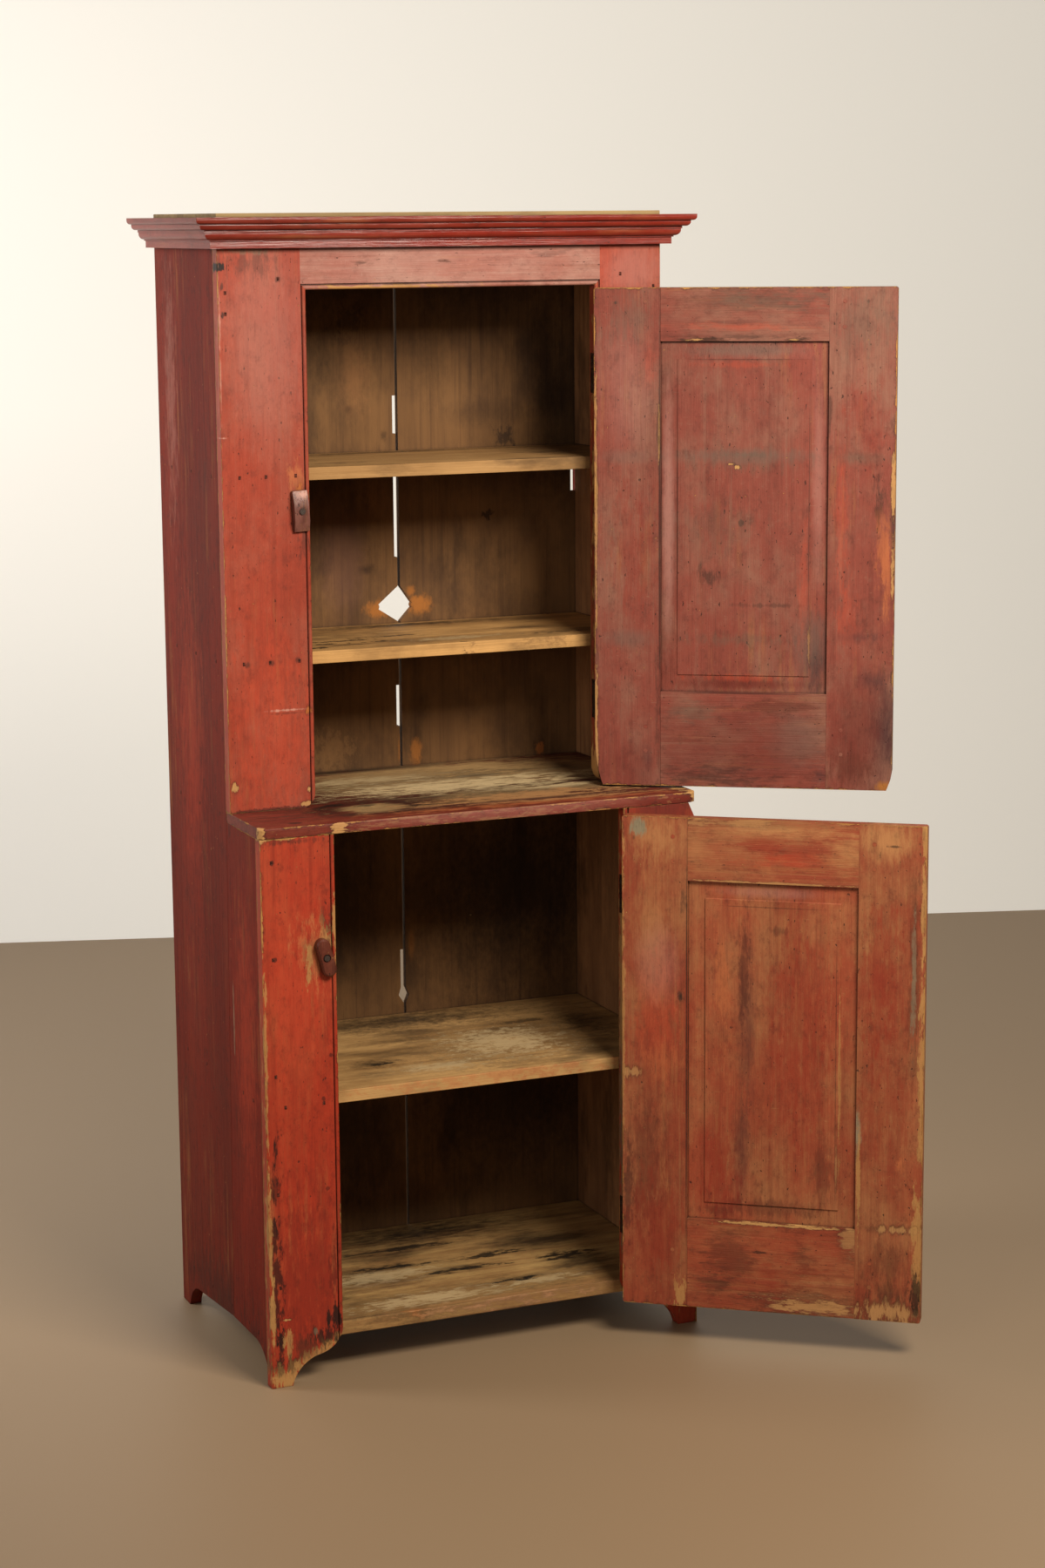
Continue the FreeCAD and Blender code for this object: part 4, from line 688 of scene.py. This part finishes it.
UPPER_FREE_STILE_MARKS = [
    ("line", -377, 1344, 1.5, 420, 0.8), ("ink", -472, 1000, 44, 120, 0.95),
    ("ink", -450, 1085, 44, 26, 0.6), ("ink", -482, 1340, 12, 60, 0.6),
    ("deep", -430, 1000, 70, 130, 0.7), ("rubbed", -476, 1240, 14, 80, 0.5),
    ("amber", -474, 912, 20, 14, 1.0), ("rubbed", -468, 1300, 16, 90, 0.6),
    ("dirt", -462, 1380, 14, 40, 0.6), ("bare", -482, 1400, 3, 60, 0.8), ("bare", -482, 1250, 3, 60, 0.7),
    ("dirt", -440, 1690, 4, 4, 0.6), ("bright", -410, 1190, 24, 80, 0.3),
    ("green", -430, 1443, 60, 14, 0.5), ("stain", -420, 940, 50, 36, 0.5),
    ("bright", -400, 1330, 14, 160, 0.35), ("dirt", -380, 1500, 3, 60, 0.5),
    ("blue", -430, 1155, 50, 12, 0.4), ("green", -430, 1650, 60, 80, 0.35),
    ("red", -440, 1500, 40, 90, 0.3),
]
LOWER_HINGE_STILE_MARKS = [
    ("line", -107, 496, 1.5, 420, 0.8), ("faded", -55, 850, 70, 60, 0.8),
    ("faded", -50, 700, 40, 180, 0.5), ("bright", -60, 560, 50, 140, 0.4),
    ("grey", -28, 861, 18, 17, 0.9), ("dirt", -100, 745, 9, 26, 0.5), ("dirt", -98, 585, 8, 12, 0.9),
    ("tan", -19, 457, 18, 9, 0.9), ("dirt", -10, 250, 12, 80, 0.55), ("flaked", -98, 80, 10, 30, 0.8),
    ("stain", -40, 300, 40, 160, 0.5), ("dirt", -20, 845, 4, 6, 0.5), ("rubbed", -60, 470, 50, 40, 0.4),
    ("red", -60, 200, 50, 120, 0.4), ("haze", -60, 640, 50, 90, 0.3), ("flaked", -3, 560, 3, 260, 0.6),
]
LOWER_TOP_RAIL_MARKS = [
    ("faded", -250, 866, 170, 26, 1.0), ("faded", -370, 830, 60, 50, 0.8),
    ("faded", -120, 830, 30, 50, 0.5), ("red", -230, 838, 60, 20, 0.6),
    ("bright", -260, 815, 80, 16, 0.4), ("bare", -250, 779, 140, 2, 0.6), ("tan", -200, 874, 90, 6, 0.5),
]
LOWER_PANEL_MARKS = [
    ("wash", -205, 560, 24, 230, 0.9), ("stain", -200, 640, 14, 110, 0.7),
    ("wash", -198, 340, 26, 150, 0.9), ("rubbed", -165, 600, 16, 130, 0.7),
    ("dirt", -255, 700, 20, 8, 0.4), ("flaked", -355, 480, 2, 160, 0.6),
    ("red", -290, 520, 60, 200, 0.45), ("haze", -242, 762, 120, 14, 0.35),
    ("line", -136, 480, 1.3, 260, 0.4), ("line", -108, 480, 2, 286, 0.8),
    ("line", -349, 480, 1.3, 260, 0.4), ("stain", -330, 300, 30, 60, 0.5),
    ("dirt", -150, 230, 40, 12, 0.4), ("tan", -351, 330, 2, 50, 0.5), ("stain", -240, 240, 110, 20, 0.5),
    ("line", -242, 242, 110, 1.3, 0.5), ("line", -242, 738, 110, 1.3, 0.4),
    ("red", -160, 300, 40, 90, 0.5),
]
LOWER_BOTTOM_RAIL_MARKS = [
    ("bare", -245, 213, 140, 3, 1.0), ("black", -228, 165, 16, 2.5, 0.7), ("tan", -311, 79, 76, 16, 1.0),
    ("stain", -180, 150, 50, 56, 0.6), ("dirt", -150, 110, 40, 30, 0.4), ("tan", -375, 200, 16, 30, 0.7),
    ("dirt", -300, 160, 20, 30, 0.4), ("red", -280, 130, 60, 30, 0.4),
]
LOWER_FREE_STILE_MARKS = [
    ("line", -382, 496, 1.5, 420, 0.8), ("faded", -430, 855, 70, 50, 1.0),
    ("brown", -474, 640, 14, 240, 0.5), ("grey", -384, 377, 9, 46, 0.8),
    ("flaked", -486, 760, 4, 140, 0.8), ("flaked", -486, 520, 5, 200, 0.8),
    ("tan", -451, 219, 40, 6, 0.9), ("flaked", -483, 190, 8, 90, 0.8), ("tan", -430, 80, 56, 20, 1.0),
    ("black", -481, 110, 10, 34, 0.8), ("dirt", -405, 551, 6, 10, 0.5), ("dirt", -440, 846, 12, 2, 0.7),
    ("brown", -440, 110, 40, 24, 0.5), ("rubbed", -455, 330, 10, 16, 0.9),
    ("red", -420, 620, 40, 140, 0.5), ("flaked", -388, 300, 3, 90, 0.7), ("grey", -472, 620, 5, 120, 0.5),
    ("red", -430, 420, 50, 90, 0.4), ("stain", -440, 160, 44, 40, 0.5),
]
BACK_LEFT_MARKS = [
    ("amber", 365, 1174, 34, 20, 1.0), ("dirt", 320, 1655, 30, 40, 0.5),
    ("grime_and_shade", 318, 1511, 12, 12, 0.6), ("grime_and_shade", 379, 1466, 9, 14, 0.5),
    ("grime_and_shade", 344, 1243, 24, 12, 0.7), ("tan", 276, 941, 40, 40, 0.2),
    ("shade", 300, 1745, 300, 130, 0.75), ("shade", 300, 1400, 260, 60, 0.5),
    ("shade", 300, 1110, 260, 50, 0.5), ("amber", 402, 930, 8, 34, 0.7),
    ("shade", 240, 700, 330, 240, 0.6), ("shade", 240, 300, 330, 220, 0.6),
    ("grime_and_shade", 240, 1600, 90, 90, 0.35), ("grime_and_shade", 330, 1330, 60, 60, 0.3),
    ("faded", 330, 1560, 40, 90, 0.25), ("haze", 300, 1260, 60, 120, 0.15),
]
BACK_RIGHT_MARKS = [
    ("amber", 438, 1178, 32, 22, 1.0), ("amber", 424, 1202, 12, 12, 0.8),
    ("dirt", 600, 1458, 22, 20, 0.7), ("grime_and_shade", 698, 1425, 12, 12, 0.6), ("tar", 567, 1326, 12, 8, 0.7),
    ("amber", 430, 925, 14, 32, 0.8), ("orange", 661, 912, 10, 14, 0.6), ("cream", 527, 630, 4, 4, 1.0),
    ("amber", 416, 590, 8, 36, 0.5), ("shade", 560, 1745, 300, 130, 0.75),
    ("shade", 560, 1400, 260, 60, 0.5), ("shade", 560, 1110, 260, 50, 0.5),
    ("shade", 720, 1500, 110, 300, 0.6), ("shade", 620, 680, 330, 260, 0.85),
    ("shade", 600, 300, 330, 240, 0.8), ("grime_and_shade", 470, 1600, 40, 110, 0.3),
    ("grime_and_shade", 560, 1500, 120, 30, 0.25), ("grime_and_shade", 540, 1230, 90, 90, 0.25),
]
# The long soot-dark mark along each shelf's back, and on the upper and lower shelves the soot-dark mark
# at the right, are painted shade where the case and the open doors keep the light off.
UPPER_SHELF_MARKS = [
    ("grime_and_shade", 160, 330, 70, 90, 0.6), ("grime_and_shade", 640, 300, 90, 140, 0.6),
    ("grime_and_shade", 400, 415, 330, 26, 0.8), ("tar", 220, 230, 60, 6, 0.6),
]
MIDDLE_SHELF_MARKS = [
    ("grime_and_shade", 230, 216, 60, 14, 0.7), ("tar", 240, 262, 60, 7, 0.9), ("tar", 200, 236, 34, 6, 0.9),
    ("tar", 300, 232, 40, 6, 0.8), ("tar", 330, 286, 70, 6, 0.8), ("black", 411, 168, 8, 6, 0.6),
    ("grime_and_shade", 566, 290, 90, 26, 0.7), ("tar", 596, 213, 50, 8, 0.7), ("tar", 168, 200, 24, 8, 0.9),
    ("brown", 420, 158, 14, 7, 0.7), ("brown", 560, 160, 60, 6, 0.4), ("grime_and_shade", 400, 410, 320, 34, 0.9),
    ("cream", 420, 220, 100, 26, 0.4),
]
LOWER_SHELF_MARKS = [
    ("grime_and_shade", 235, 150, 70, 40, 0.8), ("cream", 485, 190, 120, 110, 0.6),
    ("grime_and_shade", 380, 390, 330, 90, 0.85), ("tar", 250, 142, 24, 10, 0.8), ("grime_and_shade", 660, 260, 70, 160, 0.7),
    ("rubbed", 400, 22, 300, 6, 0.4), ("grime_and_shade", 320, 270, 130, 24, 0.5), ("cream", 330, 90, 90, 30, 0.5),
    ("tar", 560, 300, 60, 10, 0.5),
]
BOTTOM_MARKS = [
    # The broad soot-dark marks along the back and at the right of the bottom are painted shade.
    ("grime_and_shade", 400, 385, 330, 90, 0.95), ("grime_and_shade", 300, 290, 120, 40, 0.6),
    ("grime_and_shade", 560, 260, 170, 60, 0.8), ("cream", 260, 200, 130, 40, 0.6),
    ("cream", 300, 66, 160, 36, 0.6), ("cream", 500, 80, 90, 24, 0.5), ("grime_and_shade", 150, 130, 50, 26, 0.8),
    ("tar", 286, 235, 80, 10, 0.9), ("grime_and_shade", 286, 235, 90, 26, 0.6), ("tar", 400, 178, 70, 9, 0.9),
    ("grime_and_shade", 400, 180, 90, 26, 0.7), ("tar", 470, 229, 60, 12, 0.9), ("tar", 477, 92, 50, 8, 0.95),
    ("grime_and_shade", 480, 96, 60, 18, 0.7), ("tar", 588, 174, 50, 20, 0.9), ("grime_and_shade", 600, 150, 90, 70, 0.8),
    ("grime_and_shade", 140, 270, 50, 40, 0.7), ("tar", 350, 320, 90, 12, 0.8), ("stain", 230, 150, 120, 30, 0.3),
    ("dirt", 180, 28, 60, 6, 0.6), ("orange", 251, 26, 26, 6, 0.5), ("pale", 430, 16, 200, 8, 0.5),
    ("tan", 400, 30, 240, 10, 0.5),
]


# Faces that the marks lie on, in whole millimetres in the frame
CASE_WIDTH = 750
UPPER_FRONT = 142
BACK_FACE = 438
WAIST_TOP = 903
BOTTOM_TOP = 86
BUTTON_FRONT = 130

# Planes beyond which a board is bare, each 0.8 mm under the board's inner face
LEFT_INSIDE = ("+x", 19.2)
RIGHT_INSIDE = ("-x", 730.8)
UPPER_INSIDE = ("+y", 162.2)
LOWER_INSIDE = ("+y", 20.2)


def dress_case():
    """Sides, stiles, rail, waist and cornice in red, the boards inside bare."""
    for side, plane, level in (("left", LEFT_INSIDE, 0), ("right", RIGHT_INSIDE, CASE_WIDTH)):
        looks = {"red": SIDE_RED, "inside": plane, "face": ("x", level), "bloom": 0.5, "grime": 0.4,
                 "sheen": 0.15, "gloss": 0.7}
        inner = RIGHT_INNER_MARKS if side == "right" else ()
        dress(f"{side}_side_board",
              painted(f"{side}_side_board", marks=LEFT_SIDE_MARKS, inner_marks=inner, **looks))
        looks["red"] = ("50110a", "8c2612", "70281a")
        dress(f"{side}_side_front_board",
              painted(f"{side}_side_front_board", marks=LEFT_FRONT_MARKS, **looks))
    upper = {"face": ("y", UPPER_FRONT), "inside": UPPER_INSIDE, "bloom": 0.5}
    dress("upper_left_stile", painted("upper_left_stile", marks=UPPER_LEFT_STILE_MARKS, **upper))
    dress("upper_right_stile", painted("upper_right_stile", marks=UPPER_RIGHT_STILE_MARKS, **upper))
    rail = painted("upper_top_rail", along="x", red=RAIL_RED, marks=TOP_RAIL_MARKS, edges="-y-z", **upper)
    dress("upper_top_rail", rail)
    lower = {"red": LOW_RED, "inside": LOWER_INSIDE, "grime": 0.35, "arris": 4.5}
    dress("lower_left_stile", painted("lower_left_stile", marks=LOWER_LEFT_STILE_MARKS, **lower))
    dress("lower_right_stile", painted("lower_right_stile", marks=LOWER_RIGHT_STILE_MARKS, **lower))
    waist = painted("waist_board", along="x", red=WAIST_RED, face=("z", WAIST_TOP), arris=4,
                    marks=WAIST_MARKS)
    dress("waist_board", waist, 2.5)
    for part, along, sheen in (("front", "x", 0.5), ("left", "y", 0.15), ("right", "y", 0.15)):
        node = f"cornice_{part}"
        dress(node, painted(node, along=along, red=CORNICE_RED, gloss=0.28, sheen=sheen, arris=0.8), 0.5)
    shelves = {
        "upper_shelf": ("b98f5c", 1440, UPPER_SHELF_MARKS),
        "middle_shelf": ("cf9f62", 1149, MIDDLE_SHELF_MARKS),
        "lower_shelf": ("cda268", 468, LOWER_SHELF_MARKS),
    }
    for shelf, (light, level, marks) in shelves.items():
        dress(shelf, bare(shelf, light=light, dark="906a3e", face=("z", level), marks=marks), 1.5)
    floor = {"light": "c29c62", "blotch": 0.75, "face": ("z", BOTTOM_TOP), "marks": BOTTOM_MARKS,
             "stretch": 30}
    dress("bottom_front_board", bare("bottom_front_board", **floor), 2)
    dress("bottom_back_board", bare("bottom_back_board", **floor), 2)
    dress("top_board", bare("top_board", light="a88f62", dark="7a6243"))
    boards = {"along": "z", "light": "7e5a36", "dark": "4c3422", "bands": 0.3, "rings": 0.15,
              "face": ("y", BACK_FACE)}
    dress("back_board_left", bare("back_board_left", marks=BACK_LEFT_MARKS, **boards))
    dress("back_board_right", bare("back_board_right", marks=BACK_RIGHT_MARKS, **boards))


# The inner face of a shut door, in millimetres behind its hinge axis
DOOR_INSIDE = 24


def dress_doors():
    """Stiles run their grain up, rails across."""
    marks = {
        "upper_door_hinge_stile": UPPER_HINGE_STILE_MARKS,
        "upper_door_free_stile": UPPER_FREE_STILE_MARKS,
        "upper_door_top_rail": UPPER_TOP_RAIL_MARKS,
        "upper_door_bottom_rail": UPPER_BOTTOM_RAIL_MARKS,
        "upper_door_panel": UPPER_PANEL_MARKS,
        "lower_door_hinge_stile": LOWER_HINGE_STILE_MARKS,
        "lower_door_free_stile": LOWER_FREE_STILE_MARKS,
        "lower_door_top_rail": LOWER_TOP_RAIL_MARKS,
        "lower_door_bottom_rail": LOWER_BOTTOM_RAIL_MARKS,
        "lower_door_panel": LOWER_PANEL_MARKS,
    }
    edges = {"hinge_stile": "+x-z+z-y+y", "free_stile": "-x-z+z-y+y", "top_rail": "+z-y+y",
             "bottom_rail": "-z-y+y", "panel": ""}
    for door, red in (("upper", UPPER_DOOR_RED), ("lower", LOWER_DOOR_RED)):
        for part, worn in edges.items():
            node = f"{door}_door_{part}"
            along = "x" if "rail" in part else "z"
            paint = painted(node, along=along, red=red, edges=worn, arris=4, face=("y", DOOR_INSIDE),
                            marks=marks[node], bloom=0.55)
            dress(node, paint, 0.8)
        dress(f"{door}_door_pegs", painted(f"{door}_door_pegs", along="x", red=red, arris=0.1), 0)


def dress_fittings():
    """Hinges, nails and screws in iron, turn buttons in worn paint."""
    iron = metal("hinge_iron", "1c1917", "4a2a1a", 0.55)
    nails = metal("nail_iron", "3a211a", "6a2c1c", 0.75)
    steel = metal("screw_iron", "4b423d", "3a2820", 0.45)
    for door in ("upper", "lower"):
        for part in ("frame_leaves", "door_leaves", "pins"):
            dress(f"{door}_hinge_{part}", iron, 0)
        dress(f"{door}_button_screw", steel, 0)
    # The pale mark on the block's upper slope is a painted highlight.
    block_marks = [("pale", 125, 1402, 20, 9, 0.7), ("dirt", 126, 1375, 8, 8, 0.5)]
    block = painted("upper_turn_button", red=("43211b", "6e3c33", "93665a"), gloss=0.4,
                    face=("y", BUTTON_FRONT), marks=block_marks)
    dress("upper_turn_button", block, 0.8)
    knob = painted("lower_turn_button", red=("3a1c14", "6a2c1e", "8a5240"), gloss=0.4, grime=0.6)
    dress("lower_turn_button", knob, 0.8)
    for part in ("stile_nails", "side_nails", "back_nails"):
        dress(part, nails, 0)


def world_place(body, place):
    """A place on a door, counted from its hinge axis with the door shut, as it stands in the frame."""
    if body not in DOOR_AXIS:
        return place
    axis, angle = DOOR_AXIS[body]
    return Matrix.Rotation(math.radians(angle), 4, "Z") @ place + Vector((axis.x, axis.y, 0))


# Screws of the hinges' leaves, in metres, with the slot's turn and each screw's rise and shift
SCREW_RADIUS = 0.0034
SLOT_HALF = 0.00045
SCREW_PROUD = 0.0003
SCREW_STEPS = 9
SLOT_TURN = (0.8, 0.6)
LEAF_HEIGHT = 0.064
LEAF_SCREWS = ((0.012, 0.004), (0.032, -0.003), (0.052, 0.004))
LEAF_SET_BACK = 0.003


def screw_head(mesh, body, centre, side):
    """A slotted countersunk head, as two half-moons either side of the slot."""
    start = math.asin(SLOT_HALF / SCREW_RADIUS)
    level, tilt = SLOT_TURN
    for half in (0, math.pi):
        low, high = [], []
        for step in range(SCREW_STEPS + 1):
            turn = half + start + (math.pi - 2 * start) * step / SCREW_STEPS
            across, up = SCREW_RADIUS * math.cos(turn), SCREW_RADIUS * math.sin(turn)
            for ring, height in ((low, 0), (high, SCREW_PROUD)):
                offset = (side * height, across * level + up * tilt, up * level - across * tilt)
                place = centre + Vector(offset)
                ring.append(mesh.verts.new(world_place(body, place)))
        mesh.faces.new(high)
        for i in range(len(low)):
            j = (i + 1) % len(low)
            mesh.faces.new((low[i], low[j], high[j], high[i]))


def hinge_screws(door, body, leaves, board, side):
    """Three screws in each of two leaves, on the board's left edge, or its right one if side is 1."""
    low, high = limits(leaves, "-x+x-y+y-z+z")
    edge = limits(board, "-x+x")[side > 0][0]
    mesh = bmesh.new()
    for foot in (low[2], high[2] - LEAF_HEIGHT):
        for rise, shift in LEAF_SCREWS:
            depth = (low[1] + high[1]) / 2 + LEAF_SET_BACK + shift
            screw_head(mesh, body, Vector((edge, depth, foot + rise)), side)
    bmesh.ops.recalc_face_normals(mesh, faces=mesh.faces)
    data = bpy.data.meshes.new(f"{door}_{body}_hinge_screws")
    mesh.to_mesh(data)
    mesh.free()
    data.materials.append(bpy.data.materials["screw_iron"])
    piece = bpy.data.objects.new(data.name, data)
    bpy.context.collection.objects.link(piece)
    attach(piece, body)


place_camera()
studio()
dress_case()
dress_doors()
dress_fittings()
for door in ("upper", "lower"):
    hinge_screws(door, "case", f"{door}_hinge_frame_leaves", f"{door}_right_stile", -1)
    hinge_screws(door, f"{door}_door", f"{door}_hinge_door_leaves", f"{door}_door_hinge_stile", 1)
